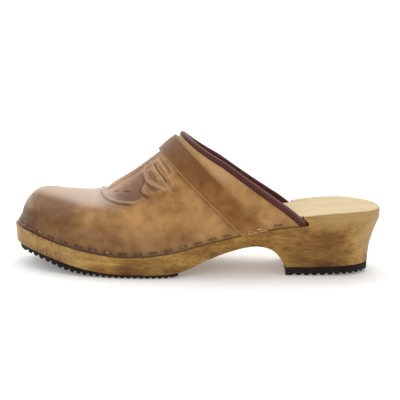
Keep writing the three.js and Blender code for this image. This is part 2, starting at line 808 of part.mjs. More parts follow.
// Staples, each a short wire lying just off the leather or the strap
function staple(name, station, side, offset) {
  const way = (uprightWay * (stapleRise - clearance)) / (rebateHeight - clearance);
  const middle = leatherPoint(station, side, way);
  const normal = leatherNormal(station, side, way);
  const step = 0.004;
  const low = Math.max(station - step, 0);
  const along = leatherPoint(station + step, side, way).sub(leatherPoint(low, side, way)).normalize();
  const up = new THREE.Vector3().crossVectors(normal, along).normalize();
  const geometry = new THREE.BoxGeometry(stapleCrown, stapleWidth, stapleThickness);
  const made = new THREE.Mesh(geometry, material(steelColour, 0.3, 1));
  const turn = new THREE.Matrix4().makeBasis(along, up, new THREE.Vector3().crossVectors(along, up));
  made.quaternion.setFromRotationMatrix(turn);
  made.position.copy(middle).addScaledVector(normal, offset + clearance + stapleThickness / 2);
  made.name = name;
  return made;
}

function buildStaples() {
  const staples = [];
  const roomUnderBinding = (station, side) => {
    const end = xOf(station) + stapleCrown / 2;
    const top = ledgeHeight(station) + stapleRise + stapleWidth + clearance;
    return collarHeight(end, side, bindingWidth) > top;
  };
  const crownsKeptFree = 1.6;
  const strapMiddle = (strapFront.foot + strapBack.foot) / 2;
  const strapHalf = (strapBack.foot - strapFront.foot) / 2;
  const keepOff = strapHalf + (crownsKeptFree * stapleCrown) / lastLength;
  const onStrap = strapThickness + clearance;
  const add = (station, side, offset) => {
    const number = String(staples.length + 1).padStart(2, '0');
    staples.push(staple('staple_' + number, station, side, offset));
  };
  for (const side of [-1, 1]) {
    const step = 0.0005;
    let walked = stapleSpacing / 2;
    for (let station = step; roomUnderBinding(station, side); station += step) {
      walked += outlinePoint(station, side).distanceTo(outlinePoint(station - step, side));
      if (Math.abs(station - strapMiddle) < keepOff) {
        walked = stapleSpacing;
      } else if (walked >= stapleSpacing) {
        walked -= stapleSpacing;
        add(station, side, 0);
      }
    }
    for (const share of [-0.5, 0.5]) {
      add(strapMiddle + (share * strapStapleSpacing) / lastLength, side, onStrap);
    }
  }
  return staples;
}

const clog = new THREE.Group();
clog.add(buildWoodSole());
clog.add(buildFrontTread());
clog.add(buildHeelTread());
clog.add(buildUpper());
clog.add(buildStrap());
clog.add(buildBinding());
for (const made of buildStaples()) clog.add(made);

export default clog;
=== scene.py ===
"""The looks of a backless leather clog: carved alder sole, ribbed rubber treads, stapled and tooled
leather upper, instep strap and bound collar. Metres in Blender; the shoe's own sizes below are in
millimetres. The toe points to -X, the outer side of the foot to -Y, and the sole stands on z = 0."""

import math

import bmesh
import bpy
import numpy as np
from mathutils import Matrix, Vector


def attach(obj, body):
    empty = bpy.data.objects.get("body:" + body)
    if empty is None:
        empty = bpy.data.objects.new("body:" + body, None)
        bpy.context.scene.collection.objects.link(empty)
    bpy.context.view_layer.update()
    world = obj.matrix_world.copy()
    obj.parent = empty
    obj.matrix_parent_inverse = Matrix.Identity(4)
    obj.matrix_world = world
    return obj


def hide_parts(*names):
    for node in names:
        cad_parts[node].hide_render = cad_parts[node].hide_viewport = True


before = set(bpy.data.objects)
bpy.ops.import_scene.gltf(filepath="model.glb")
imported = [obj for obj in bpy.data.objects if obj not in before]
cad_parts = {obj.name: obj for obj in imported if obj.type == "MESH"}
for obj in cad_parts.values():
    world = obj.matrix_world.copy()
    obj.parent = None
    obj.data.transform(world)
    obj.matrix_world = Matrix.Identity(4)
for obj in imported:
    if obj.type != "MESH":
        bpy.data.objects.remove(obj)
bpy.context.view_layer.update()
MM = 0.001


# Sizes of the shoe in millimetres, as in the solids
LENGTH = 257.2
BALL_WIDTH = 95.0
HEEL_WIDTH = 66.0
HEEL_HEIGHT = 46.5
BALL_HEIGHT = 21.5
TOE_SPRING = 13.1
REBATE_HEIGHT = 7.0
FOOTBED_DISH = 2.5
RIM_ROUND = 1.6
TOE_SHELF = 1.2
SIDE_SHELF = 0.3
BREAST_SKEW = 5.0
TOE_HEIGHT = 53.7
INSTEP_HEIGHT = 94.3
LEATHER_WALL = 2.5
TOE_FAN = 18.0
TOE_LEAN = 3.4
SIDE_LEAN = 0.5
STRAP_THICKNESS = 2.2
BINDING_WIDTH = 5.0
THROAT_BINDING_WIDTH = 2.6
BINDING_THICKNESS = 1.2
STAPLE_SPACING = 10.3
STAPLE_CROWN = 4.6
STAPLE_RISE = 2.7
STRAP_STAPLE_SPACING = 6.8
FRONT_TREAD_GAUGE = 2.0
HEEL_TREAD_GAUGE = 5.3
HEEL_RISE = 2.0
FRONT_RIB_PITCH = 4.4
HEEL_RIB_PITCH = 5.6
RIB_DEPTH = 1.1
TIP_SETBACK = 2.0
TIP_SPAN = 0.06
CLEARANCE = 0.3
TOE_REACH, TOE_POWER = 0.3, 2.15
HEEL_REACH, HEEL_POWER = 0.16, 2.3
TOE_TURN_IN = 0.042
SKEW_FROM, SKEW_TO = 0.6, 0.97
WAIST = 1.4
FRONT_TREAD_END = 0.437
BREAST_START = 0.7
HEEL_TREAD_START = 0.733
HEEL_FLAT_END = 0.79
UPRIGHT_WAY = 0.16
COLLAR_END = 0.777
COLLAR_END_HEIGHT = 2.0
INNER_COLLAR_DROP = 1.3
COLLAR_RUN, COLLAR_FALL = 0.57, 0.82
THROAT_RANGE = (0.38, 0.5)

# Tables by station, the share of the last's length from the toe
# Plan outline: outer share, inner share, how far from the ball's width to the heel's
OUTLINE = np.array([
    (0.0, 0.479, 0.463, 0.0), (0.3, 0.503, 0.489, 0.0), (0.34, 0.505, 0.481, 0.0),
    (0.4, 0.503, 0.467, 0.08), (0.46, 0.501, 0.455, 0.27), (0.52, 0.5, 0.449, 0.49),
    (0.58, 0.497, 0.443, 0.68), (0.64, 0.495, 0.446, 0.84), (0.7, 0.497, 0.461, 0.95),
    (0.76, 0.5, 0.473, 1.0), (0.82, 0.5, 0.488, 1.0), (0.88, 0.5, 0.5, 1.0), (1.0, 0.5, 0.5, 1.0),
])
# Footbed rim: share of the toe spring, share of the rise from ball to heel
RIM = np.array([
    (0.0, 1.0, 0.0), (0.03, 0.91, 0.0), (0.077, 0.665, 0.0), (0.123, 0.44, 0.0), (0.173, 0.25, 0.0),
    (0.248, 0.05, 0.0), (0.303, 0.0, 0.0), (0.35, 0.0, 0.034), (0.397, 0.0, 0.094),
    (0.463, 0.0, 0.245), (0.523, 0.0, 0.395), (0.58, 0.0, 0.523), (0.638, 0.0, 0.647),
    (0.697, 0.0, 0.757), (0.775, 0.0, 0.855), (0.82, 0.0, 0.92), (0.875, 0.0, 0.972),
    (0.93, 0.0, 1.0), (1.0, 0.0, 1.0),
])
# Underside of the wood: share of the toe spring, share of the heel height
UNDERSIDE = np.array([
    (0.0, 1.04, 0.0), (0.045, 0.855, 0.0), (0.095, 0.6, 0.0), (0.145, 0.355, 0.0), (0.2, 0.15, 0.0),
    (0.267, 0.02, 0.0), (0.33, 0.0, 0.0), (0.4, 0.0, 0.004), (0.437, 0.0, 0.03),
    (0.472, 0.0, 0.095), (0.493, 0.0, 0.15), (0.535, 0.0, 0.25), (0.58, 0.0, 0.335),
    (0.624, 0.0, 0.392), (0.645, 0.0, 0.402), (0.668, 0.0, 0.388), (0.692, 0.0, 0.342),
    (0.705, 0.0, 0.285), (0.718, 0.0, 0.2), (0.733, 0.0, 0.07),
])
# Bottom of the front tread: share of the toe spring, share of its own gauge
TREAD = np.array([
    (0.0, 0.84, 0.0), (0.045, 0.735, 0.0), (0.088, 0.505, 0.0), (0.13, 0.24, 0.0),
    (0.175, 0.09, 0.0), (0.22, 0.03, 0.0), (0.265, 0.0, 0.0), (0.4, 0.0, 0.0), (0.437, 0.0, 0.9),
])
# Draw-in of the sole's side at the floor, as a share of the heel width
TAPER = np.array([(0.0, 0.024), (0.3, 0.026), (0.5, 0.05), (0.7, 0.07), (1.0, 0.103)])
# Crown of the leather: rise from toe box to instep, shift to the inner side, roundness
CROWN = np.array([
    (0.07, -0.015, 0.05, 1.6), (0.09, 0.0, 0.052, 1.68), (0.145, -0.033, 0.055, 1.85),
    (0.2, -0.05, 0.055, 1.9), (0.225, -0.033, 0.055, 1.9), (0.248, 0.0, 0.055, 1.88),
    (0.268, 0.09, 0.055, 1.85), (0.306, 0.25, 0.052, 1.8), (0.345, 0.435, 0.048, 1.72),
    (0.378, 0.605, 0.043, 1.65), (0.415, 0.825, 0.036, 1.55), (0.447, 1.0, 0.03, 1.5),
    (0.463, 1.085, 0.027, 1.5), (0.486, 1.175, 0.022, 1.5), (0.52, 1.25, 0.015, 1.5),
    (0.56, 1.28, 0.01, 1.5), (1.0, 1.28, 0.0, 1.5),
])
# Collar edge: share of the drop from the instep to the ledge at its end
COLLAR = np.array([
    (0.43, 1.06), (0.447, 1.0), (0.456, 0.967), (0.482, 0.882), (0.518, 0.783), (0.554, 0.694),
    (0.597, 0.566), (0.63, 0.467), (0.699, 0.26), (0.731, 0.165), (0.777, 0.0), (0.85, -0.26),
])
# Edges of the strap: foot station, run to the toe per millimetre of height, bow
STRAP_FRONT = (0.603, 1.064, 0.9)
STRAP_BACK = (0.674, 1.055, 1.6)

LAST_LENGTH = LENGTH - TOE_SHELF


def x_of(station):
    return station * LAST_LENGTH + TOE_SHELF - LENGTH / 2


def station_of(x):
    return (x + LENGTH / 2 - TOE_SHELF) / LAST_LENGTH


def lookup(rows, column, at):
    """Smooth reading of one column of a table, without overshoot between its rows."""
    xs, ys = rows[:, 0], rows[:, column]
    at = np.clip(np.asarray(at, float), xs[0], xs[-1])
    gain = np.diff(ys) / np.diff(xs)
    product, total = gain[:-1] * gain[1:], gain[:-1] + gain[1:]
    tangent = np.concatenate([gain[:1], np.zeros(len(gain) - 1), gain[-1:]])
    level = product <= 0
    tangent[1:-1] = np.where(level, 0, 2 * product / np.where(level, 1, total))
    k = np.clip(np.searchsorted(xs, at, side="right") - 1, 0, len(xs) - 2)
    span = xs[k + 1] - xs[k]
    t = (at - xs[k]) / span
    return (
        ys[k] * (1 + 2 * t) * (1 - t) ** 2
        + span * tangent[k] * t * (1 - t) ** 2
        + ys[k + 1] * t * t * (3 - 2 * t)
        + span * tangent[k + 1] * t * t * (t - 1)
    )


def crossing(rising, low, high):
    """Where a rising function passes zero, by halving, for a whole array at once."""
    low, high = np.array(low, float), np.array(high, float)
    for _ in range(36):
        middle = (low + high) / 2
        over = rising(middle) > 0
        high = np.where(over, middle, high)
        low = np.where(over, low, middle)
    return (low + high) / 2


def together(*values):
    return np.broadcast_arrays(*(np.asarray(value, float) for value in values))


def quarter(count):
    """Steps of a rounded edge: how far it has left its first face and how far it is from its second."""
    turns = np.linspace(0, math.pi / 2, count)
    return [(1 - math.cos(turn), 1 - math.sin(turn)) for turn in turns]


def unit(vectors):
    return vectors / np.maximum(np.linalg.norm(vectors, axis=-1, keepdims=True), 1e-12)


def outline(station, side):
    """Plan outline of the last. side is -1 on the outer side and +1 on the inner side."""
    station, side = together(station, side)
    width = BALL_WIDTH + (HEEL_WIDTH - BALL_WIDTH) * lookup(OUTLINE, 3, station)
    share = np.where(side < 0, lookup(OUTLINE, 1, station), lookup(OUTLINE, 2, station))
    toe = np.clip(1 - station / TOE_REACH, 0, 1)
    heel = np.clip(1 - (1 - station) / HEEL_REACH, 0, 1)
    cap = (1 - toe**TOE_POWER) ** (1 / TOE_POWER) * (1 - heel**HEEL_POWER) ** (1 / HEEL_POWER)
    turn_in = TOE_TURN_IN * BALL_WIDTH * toe**2
    return np.stack([x_of(station), side * width * share * cap + turn_in], -1)


def outline_normal(station, side):
    station, side = together(station, side)
    step = np.maximum(np.minimum(0.002, np.minimum(station, 1 - station) / 3), 1e-9)
    low, high = np.clip(station - step, 0, 1), np.clip(station + step, 0, 1)
    along = outline(high, side) - outline(low, side)
    normal = unit(np.stack([-along[..., 1] * side, along[..., 0] * side], -1))
    normal = np.where((station <= 0)[..., None], np.array([-1.0, 0.0]), normal)
    return np.where((station >= 1)[..., None], np.array([1.0, 0.0]), normal)


def inset_point(station, side, inset):
    return outline(station, side) - outline_normal(station, side) * np.asarray(inset)[..., None]


def shelf(station):
    share = np.clip(station / (TOE_REACH / 2), 0, 1)
    return TOE_SHELF + (SIDE_SHELF - TOE_SHELF) * share * (2 - share)


def rim_height(station):
    rise = (HEEL_HEIGHT - BALL_HEIGHT) * lookup(RIM, 2, station)
    return BALL_HEIGHT + TOE_SPRING * lookup(RIM, 1, station) + rise


def ledge_height(station):
    return rim_height(station) - REBATE_HEIGHT


def heel_lift(station):
    return HEEL_RISE * np.maximum(0, (station - HEEL_FLAT_END) / (1 - HEEL_FLAT_END))


def underside_height(station):
    on_heel = HEEL_TREAD_GAUGE + CLEARANCE + heel_lift(station)
    shares = TOE_SPRING * lookup(UNDERSIDE, 1, station) + HEEL_HEIGHT * lookup(UNDERSIDE, 2, station)
    share = np.clip((station - BREAST_START) / (HEEL_TREAD_START - BREAST_START), 0, 1)
    on_table = np.maximum(FRONT_TREAD_GAUGE + shares, on_heel * share)
    return np.where(station >= HEEL_TREAD_START, on_heel, on_table)


def side_inset(station, height):
    top = ledge_height(station)
    depth = np.clip(WAIST * (top - height) / top, 0, 1)
    return lookup(TAPER, 1, station) * HEEL_WIDTH * np.sin(depth * math.pi / 2) - shelf(station)


def skewed(station, side, share):
    before = np.clip((station - SKEW_FROM) / (HEEL_TREAD_START - SKEW_FROM), 0, 1)
    after = np.clip((SKEW_TO - station) / (SKEW_TO - HEEL_TREAD_START), 0, 1)
    moved = share * BREAST_SKEW / LAST_LENGTH * before**2 * (3 - 2 * before) * after
    inside = (side > 0) & (station > SKEW_FROM) & (station < SKEW_TO)
    return np.where(inside, station + moved, station)


def lean(station):
    return TOE_LEAN + (SIDE_LEAN - TOE_LEAN) * np.clip(station / (TOE_REACH / 2), 0, 1)


def crown_point(station):
    x = x_of(station) + TOE_FAN * np.clip(1 - station / TOE_REACH, 0, 1) ** 1.5
    at = station_of(x)
    rise = TOE_HEIGHT + (INSTEP_HEIGHT - TOE_HEIGHT) * lookup(CROWN, 1, at)
    return np.stack([x, lookup(CROWN, 2, at) * BALL_WIDTH, rise], -1)


def leather_point(station, side, way):
    """Outer face of the leather: up from the ledge at way 0 to the crown at way 1."""
    station, side, way = together(station, side, way)
    foot = outline(station, side)
    shoulder = inset_point(station, side, lean(station))
    base = ledge_height(station) + CLEARANCE
    top = ledge_height(station) + REBATE_HEIGHT
    share = np.clip(way / UPRIGHT_WAY, 0, 1)
    low_plan = foot + (shoulder - foot) * share[..., None]
    low = np.concatenate([low_plan, (base + (top - base) * share)[..., None]], -1)
    crown = crown_point(station)
    angle = np.clip((way - UPRIGHT_WAY) / (1 - UPRIGHT_WAY), 0, 1) * math.pi / 2
    power = 2 / lookup(CROWN, 3, station_of(crown[..., 0]))
    across = 1 - np.maximum(np.cos(angle), 0) ** power
    up = np.sin(angle) ** power
    high_plan = shoulder + (crown[..., :2] - shoulder) * across[..., None]
    high = np.concatenate([high_plan, (top + (crown[..., 2] - top) * up)[..., None]], -1)
    return np.where((way <= UPRIGHT_WAY)[..., None], low, high)


def side_normal(station, side, way):
    station, side, way = together(station, side, way)
    step = 0.002
    lower, upper = np.maximum(way - step, 0), np.minimum(way + step, 1)
    back = np.maximum(station - step, 0)
    along = leather_point(station + step, side, way) - leather_point(back, side, way)
    climb = leather_point(station, side, upper) - leather_point(station, side, lower)
    return unit(np.cross(climb, along) * side[..., None])


def leather_normal(station, side, way):
    near_crown = 0.994
    way = np.asarray(way, float)
    both = unit(side_normal(station, -1, near_crown) + side_normal(station, 1, near_crown))
    own = side_normal(station, side, way)
    return np.where((np.broadcast_to(way, own.shape[:-1]) < near_crown)[..., None], own, both)


def way_at_height(station, height):
    base = ledge_height(station) + CLEARANCE
    shoulder = ledge_height(station) + REBATE_HEIGHT
    crown = crown_point(station)
    roundness = lookup(CROWN, 3, station_of(crown[..., 0]))
    share = np.clip((height - shoulder) / (crown[..., 2] - shoulder), 0, 1)
    arch = UPRIGHT_WAY + (1 - UPRIGHT_WAY) * np.arcsin(share ** (roundness / 2)) / (math.pi / 2)
    return np.where(height <= shoulder, UPRIGHT_WAY * (height - base) / (shoulder - base), arch)


def collar_height(x, side, drop=0.0):
    share = lookup(COLLAR, 1, station_of(x + COLLAR_RUN * drop))
    bottom = ledge_height(COLLAR_END) + COLLAR_END_HEIGHT
    lowered = INNER_COLLAR_DROP * np.sin(math.pi * np.clip(share, 0, 1)) * (np.asarray(side) > 0)
    return bottom + (INSTEP_HEIGHT - bottom) * share - lowered - COLLAR_FALL * drop


def throat_x(drop=0.0):
    def above(x):
        return crown_point(station_of(x))[..., 2] - collar_height(x, -1, drop)

    drop = np.asarray(drop, float)
    return crossing(above, *(np.full(drop.shape, x_of(station)) for station in THROAT_RANGE))


def collar_x(height, side, drop):
    """Where the collar's edge, moved into the leather by drop, passes a height."""
    shape = np.shape(height)
    start, end = (np.full(shape, x_of(station)) for station in (THROAT_RANGE[0], COLLAR_END))
    return crossing(lambda x: height - collar_height(x, side, drop), start, end)


def band(value, start, end):
    """0 before start, 1 past end, smooth between them. start may be the larger one."""
    t = np.clip((value - start) / (end - start), 0, 1)
    return t * t * (3 - 2 * t)


def strongest(rows, **axes):
    """Strength of a mark at each point, as the strongest of some patches. Each patch has its strength
    and the spans over which it comes in: axis, where it starts, where it is full."""
    best = 0.0
    for strength, *spans in rows:
        for axis, start, full in spans:
            strength = strength * band(axes[axis], start, full)
        best = np.maximum(best, strength)
    return best


# Meshes: a piece is made of grids of points in millimetres, which are welded into one closed mesh


# Points closer than this are one point, in millimetres
WELD = 0.003


def place_in_scene(name, data):
    made = bpy.data.objects.new(name, data)
    bpy.context.scene.collection.objects.link(made)
    return made


class Piece:
    def __init__(self):
        self.points, self.faces, self.marks, self.count = [], [], {}, 0

    def grid(self, points, wrap=False, **marks):
        """Quads between the rows of a (rows, columns, 3) array; marks are kept for the material."""
        rows, columns = points.shape[:2]
        index = self.count + np.arange(rows * columns).reshape(rows, columns)
        if wrap:
            index = np.concatenate([index, index[:, :1]], 1)
        low, high = index[:-1], index[1:]
        quads = np.stack([low[:, :-1], low[:, 1:], high[:, 1:], high[:, :-1]], -1)
        self.faces.append(quads.reshape(-1, 4))
        self.points.append(points.reshape(-1, 3))
        for name in sorted({*self.marks, *marks}):
            before = self.marks.setdefault(name, [np.zeros(self.count)] if self.count else [])
            value = np.broadcast_to(marks.get(name, 0.0), (rows, columns))
            before.append(value.reshape(-1))
        self.count += rows * columns

    def polygons(self, points, **marks):
        """Faces of several corners each, from a (faces, corners, 3) array."""
        self.grid(points, **marks)
        shape = points.shape[:2]
        self.faces[-1] = self.count + np.arange(-shape[0] * shape[1], 0).reshape(shape)

    def object(self, name, look, sharp):
        """The welded mesh. Edges that turn by more than sharp degrees stay sharp."""
        mesh = bpy.data.meshes.new(name)
        points = np.concatenate(self.points) * MM
        mesh.from_pydata(points.tolist(), [], [face for part in self.faces for face in part.tolist()])
        for mark, parts in self.marks.items():
            attribute = mesh.attributes.new(mark, "FLOAT", "POINT")
            attribute.data.foreach_set("value", np.concatenate(parts).astype(np.float32))
        work = bmesh.new()
        work.from_mesh(mesh)
        bmesh.ops.remove_doubles(work, verts=work.verts, dist=WELD * MM)
        bmesh.ops.dissolve_degenerate(work, edges=work.edges, dist=WELD * MM / 4)
        bmesh.ops.recalc_face_normals(work, faces=work.faces)
        if work.calc_volume(signed=True) < 0:
            bmesh.ops.reverse_faces(work, faces=work.faces)
        work.to_mesh(mesh)
        work.free()
        mesh.shade_smooth()
        mesh.set_sharp_from_angle(angle=math.radians(sharp))
        mesh.materials.append(look)
        return place_in_scene(name, mesh)


def across(start, end, count):
    """Rows of points from each point of one line to the same point of another."""
    share = np.linspace(0, 1, count)[:, None]
    return start[:, None] * (1 - share) + end[:, None] * share


def settle(piece, slot, *nodes):
    """Tells the frame the piece's body and hides the CAD nodes that it replaces. The slot is not used.
    """
    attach(piece, "root")
    if nodes:
        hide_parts(*nodes)


def along_outline(side, start, end, count):
    """Stations from start to end at even steps along the outline."""
    fine = start + (end - start) * (1 - np.cos(np.linspace(0, math.pi, 6001))) / 2
    steps = np.linalg.norm(np.diff(outline(fine, side), axis=0), axis=1)
    walked = np.concatenate([[0], np.cumsum(steps)])
    return np.interp(walked[-1] * np.linspace(0, 1, count), walked, fine)


# Node trees


def paint(code):
    """A colour from its sRGB hex value, in linear light."""
    parts = [int(code[k : k + 2], 16) / 255 for k in (1, 3, 5)]
    linear = [c / 12.92 if c <= 0.04045 else ((c + 0.055) / 1.055) ** 2.4 for c in parts]
    return (*linear, 1.0)


def add(tree, kind, settings=None, inputs=None, stops=()):
    """One node with its settings, its inputs set to values or linked from other nodes, and the
    positions and colours of its ramp."""
    node = tree.nodes.new(kind)
    for key, value in (settings or {}).items():
        setattr(node, key, value)
    for key, value in (inputs or {}).items():
        if isinstance(value, bpy.types.Node):
            value = next(socket for socket in value.outputs if socket.enabled)
        if isinstance(value, bpy.types.NodeSocket):
            tree.links.new(value, node.inputs[key])
        else:
            node.inputs[key].default_value = value
    for k, (position, shade) in enumerate(stops):
        elements = node.color_ramp.elements
        stop = elements[k] if k < 2 else elements.new(position)
        stop.position, stop.color = position, paint(shade)
    return node


def new_look(name):
    """An empty material with its node tree and the object's own coordinates."""
    look = bpy.data.materials.new(name)
    look.use_nodes = True
    look.node_tree.nodes.clear()
    return look, look.node_tree, add(look.node_tree, "ShaderNodeTexCoord").outputs["Object"]


def close_look(tree, sockets):
    """The surface with its sockets, and the material's output."""
    surface = add(tree, "ShaderNodeBsdfPrincipled", None, sockets)
    add(tree, "ShaderNodeOutputMaterial", None, {"Surface": surface})


def leather_look(name, tan, light, layers, gloss, shine, seed):
    """Vegetable-tanned cow leather, oiled and burnished: warm and cloudy in colour, with a fine pebbled
    grain and a soft waxy gloss. Layers are colours laid over it where the mesh is marked: burnished wear
    and stain, pale cut edges and flesh side, painted sheen on the high places, and painted shade in the
    grooves, the gaps and the holes."""
    look, tree, place = new_look(name)
    spot = add(tree, "ShaderNodeMapping", None, {"Vector": place, "Location": (seed, seed, 0)})
    # clouds of dye, about 25 mm and 6 mm across
    broad = add(tree, "ShaderNodeTexNoise", None, {"Vector": spot, "Scale": 40, "Detail": 3})
    small = add(tree, "ShaderNodeTexNoise", None, {"Vector": spot, "Scale": 160, "Detail": 4})
    both = {"Factor": 0.35, "A": broad, "B": small}
    clouds = add(tree, "ShaderNodeMix", {"data_type": "FLOAT"}, both)
    colour = add(tree, "ShaderNodeValToRGB", None, {"Fac": clouds}, ((0.34, tan), (0.66, light)))
    for mark, shade, strength in layers:
        amount = add(tree, "ShaderNodeAttribute", {"attribute_name": mark}).outputs["Fac"]
        times = {"operation": "MULTIPLY", "use_clamp": True}
        part = add(tree, "ShaderNodeMath", times, {0: amount, 1: strength})
        over = {"Factor": part, "A": colour, "B": paint(shade)}
        colour = add(tree, "ShaderNodeMix", {"data_type": "RGBA"}, over)
    # grain of about 0.9 mm pebbles, drawn a little coarser than real so that it shows
    pebble_size = {"Vector": spot, "Scale": 1100}
    pebbles = add(tree, "ShaderNodeTexVoronoi", {"feature": "SMOOTH_F1"}, pebble_size)
    fine = add(tree, "ShaderNodeTexNoise", None, {"Vector": spot, "Scale": 2200, "Detail": 3})
    height = {"Factor": 0.4, "A": pebbles, "B": fine}
    height = add(tree, "ShaderNodeMix", {"data_type": "FLOAT"}, height)
    grain = {"Strength": 0.14, "Distance": 0.0004, "Height": height}
    grain = add(tree, "ShaderNodeBump", None, grain)
    waves = {"Strength": 0.2, "Distance": 0.002, "Height": small, "Normal": grain}
    waves = add(tree, "ShaderNodeBump", None, waves)
    span = {"Value": clouds, "From Min": 0.3, "From Max": 0.7}
    span |= {"To Min": gloss - 0.05, "To Max": gloss + 0.08}
    rough = add(tree, "ShaderNodeMapRange", None, span)
    inside = add(tree, "ShaderNodeAttribute", {"attribute_name": "inside"}).outputs["Fac"]
    dull = {"Factor": inside, "A": rough, "B": 0.85}
    dull = add(tree, "ShaderNodeMix", {"data_type": "FLOAT"}, dull)
    sockets = {"Base Color": colour, "Roughness": dull, "Normal": waves}
    close_look(tree, sockets | {"IOR": 1.5, "Specular IOR Level": shine})
    return look


WOOD_DARK, WOOD_MIDDLE, WOOD_LIGHT = "#835D25", "#A37C39", "#BC9953"
WOOD_PALE, WOOD_STAIN, WOOD_BLOT = "#B5975F", "#DCC398", "#947446"


def wood_look():
    """Alder, carved, sanded and oiled at the side: honey brown, with fine darker streaks along the
    grain, short upright flecks where the toe bends across it, and cloudy stains. Painted light makes the
    upper band and the back of the heel paler, and painted shade darkens the wood where the leather
    stands on it. The footbed is left bare, so that it is pale and dull."""
    look, tree, place = new_look("oiled alder")
    turn = {"Vector": place, "Rotation": (0.05, -0.06, 0.03), "Location": (0.05, 0.06, 0.17)}
    turned = add(tree, "ShaderNodeMapping", None, turn)
    # noise drawn out along the grain: stretch, scale, detail, roughness and warp
    kinds = {
        "streaks": ((0.14, 1, 1), 620, 5, 0.65, 0.4),
        "bands": ((0.2, 1, 1), 105, 3, 0.55, 0.8),
        "clouds": ((0.7, 1, 1), 34, 5, 0.6, 0.5),
        "curl": ((0.5, 1, 1), 230, 3, 0.6, 1.5),
        "pores": ((0.07, 1, 1), 1300, 2, 0.5, 0.0),
        "flecks": ((1, 1, 0.2), 1000, 2, 0.5, 0.3),
    }
    noise = {}
    for label, (stretch, scale, detail, rough, warp) in kinds.items():
        drawn = add(tree, "ShaderNodeMapping", None, {"Vector": turned, "Scale": stretch})
        settings = {"Vector": drawn, "Scale": scale, "Detail": detail}
        settings |= {"Roughness": rough, "Distortion": warp}
        noise[label] = add(tree, "ShaderNodeTexNoise", None, settings)
    mark = {}
    for label in ("seat", "burnish", "pale", "fore"):
        mark[label] = add(tree, "ShaderNodeAttribute", {"attribute_name": label}).outputs["Fac"]
    tone = noise["streaks"]
    for share, label in ((0.34, "curl"), (0.4, "bands")):
        blend = {"Factor": share, "A": tone, "B": noise[label]}
        tone = add(tree, "ShaderNodeMix", {"data_type": "FLOAT"}, blend)
    oiled = ((0.4, WOOD_DARK), (0.5, WOOD_MIDDLE), (0.6, WOOD_LIGHT))
    side = add(tree, "ShaderNodeValToRGB", None, {"Fac": tone}, oiled)
    bare = add(tree, "ShaderNodeValToRGB", None, {"Fac": tone}, ((0.3, "#CFB586"), (0.7, "#DECBA6")))
    cloudy = ((0.42, "#FFFFFF"), (0.62, WOOD_STAIN))
    stain = add(tree, "ShaderNodeValToRGB", None, {"Fac": noise["clouds"]}, cloudy)
    # pores: short dark dashes about 0.3 mm wide and a few millimetres long
    span = {"Value": noise["pores"], "From Min": 0.6, "From Max": 0.75, "To Max": 0.35}
    pores = add(tree, "ShaderNodeMapRange", None, span)
    span = {"Value": noise["flecks"], "From Min": 0.52, "From Max": 0.62, "To Max": mark["fore"]}
    flecks = add(tree, "ShaderNodeMapRange", None, span)
    dark = add(tree, "ShaderNodeMath", {"operation": "MAXIMUM"}, {0: pores, 1: flecks})
    # stains gather in blots near the floor and under the ball; the same mark lays painted shade along
    # the ledge under the leather
    patchy = ((0.38, "#909090"), (0.62, "#FFFFFF"))
    patchy = add(tree, "ShaderNodeValToRGB", None, {"Fac": noise["clouds"]}, patchy)
    times = {"operation": "MULTIPLY", "use_clamp": True}
    blots = add(tree, "ShaderNodeMath", times, {0: mark["burnish"], 1: patchy})
    wood = side
    layers = (
        ("MULTIPLY", 0.75, stain),
        # paler wood: painted light on the heel's upper band and back, and paler grain towards the toe
        ("MIX", mark["pale"], paint(WOOD_PALE)),
        ("MIX", mark["seat"], bare),
        ("MULTIPLY", dark, paint("#6B4A2A")),
        ("MULTIPLY", blots, paint(WOOD_BLOT)),
    )
    for way, share, shade in layers:
        mixing = {"data_type": "RGBA", "blend_type": way}
        wood = add(tree, "ShaderNodeMix", mixing, {"Factor": share, "A": wood, "B": shade})
    span = {"Value": mark["seat"], "To Min": 0.5, "To Max": 0.75}
    rough = add(tree, "ShaderNodeMapRange", None, span)
    ridges = {"Strength": 0.2, "Distance": 0.0006, "Height": tone}
    ridges = add(tree, "ShaderNodeBump", None, ridges)
    pits = {"Strength": 0.2, "Distance": 0.0003, "Height": dark, "Normal": ridges}
    pits = add(tree, "ShaderNodeBump", {"invert": True}, pits)
    sockets = {"Base Color": wood, "Roughness": rough, "Normal": pits}
    close_look(tree, sockets | {"IOR": 1.5, "Specular IOR Level": 0.3})
    return look


def rubber_look():
    """Moulded black-brown sole rubber: matt, a little dusty, with a fine gritty skin."""
    look, tree, place = new_look("moulded sole rubber")
    dust = add(tree, "ShaderNodeTexNoise", None, {"Vector": place, "Scale": 60, "Detail": 5})
    shades = ((0.4, "#18100B"), (0.8, "#35271C"))
    colour = add(tree, "ShaderNodeValToRGB", None, {"Fac": dust}, shades)
    grit = add(tree, "ShaderNodeTexNoise", None, {"Vector": place, "Scale": 1800, "Detail": 2})
    skin = {"Strength": 0.25, "Distance": 0.0003, "Height": grit}
    skin = add(tree, "ShaderNodeBump", None, skin)
    sockets = {"Base Color": colour, "Normal": skin, "Roughness": 0.8}
    close_look(tree, sockets | {"Specular IOR Level": 0.2})
    return look


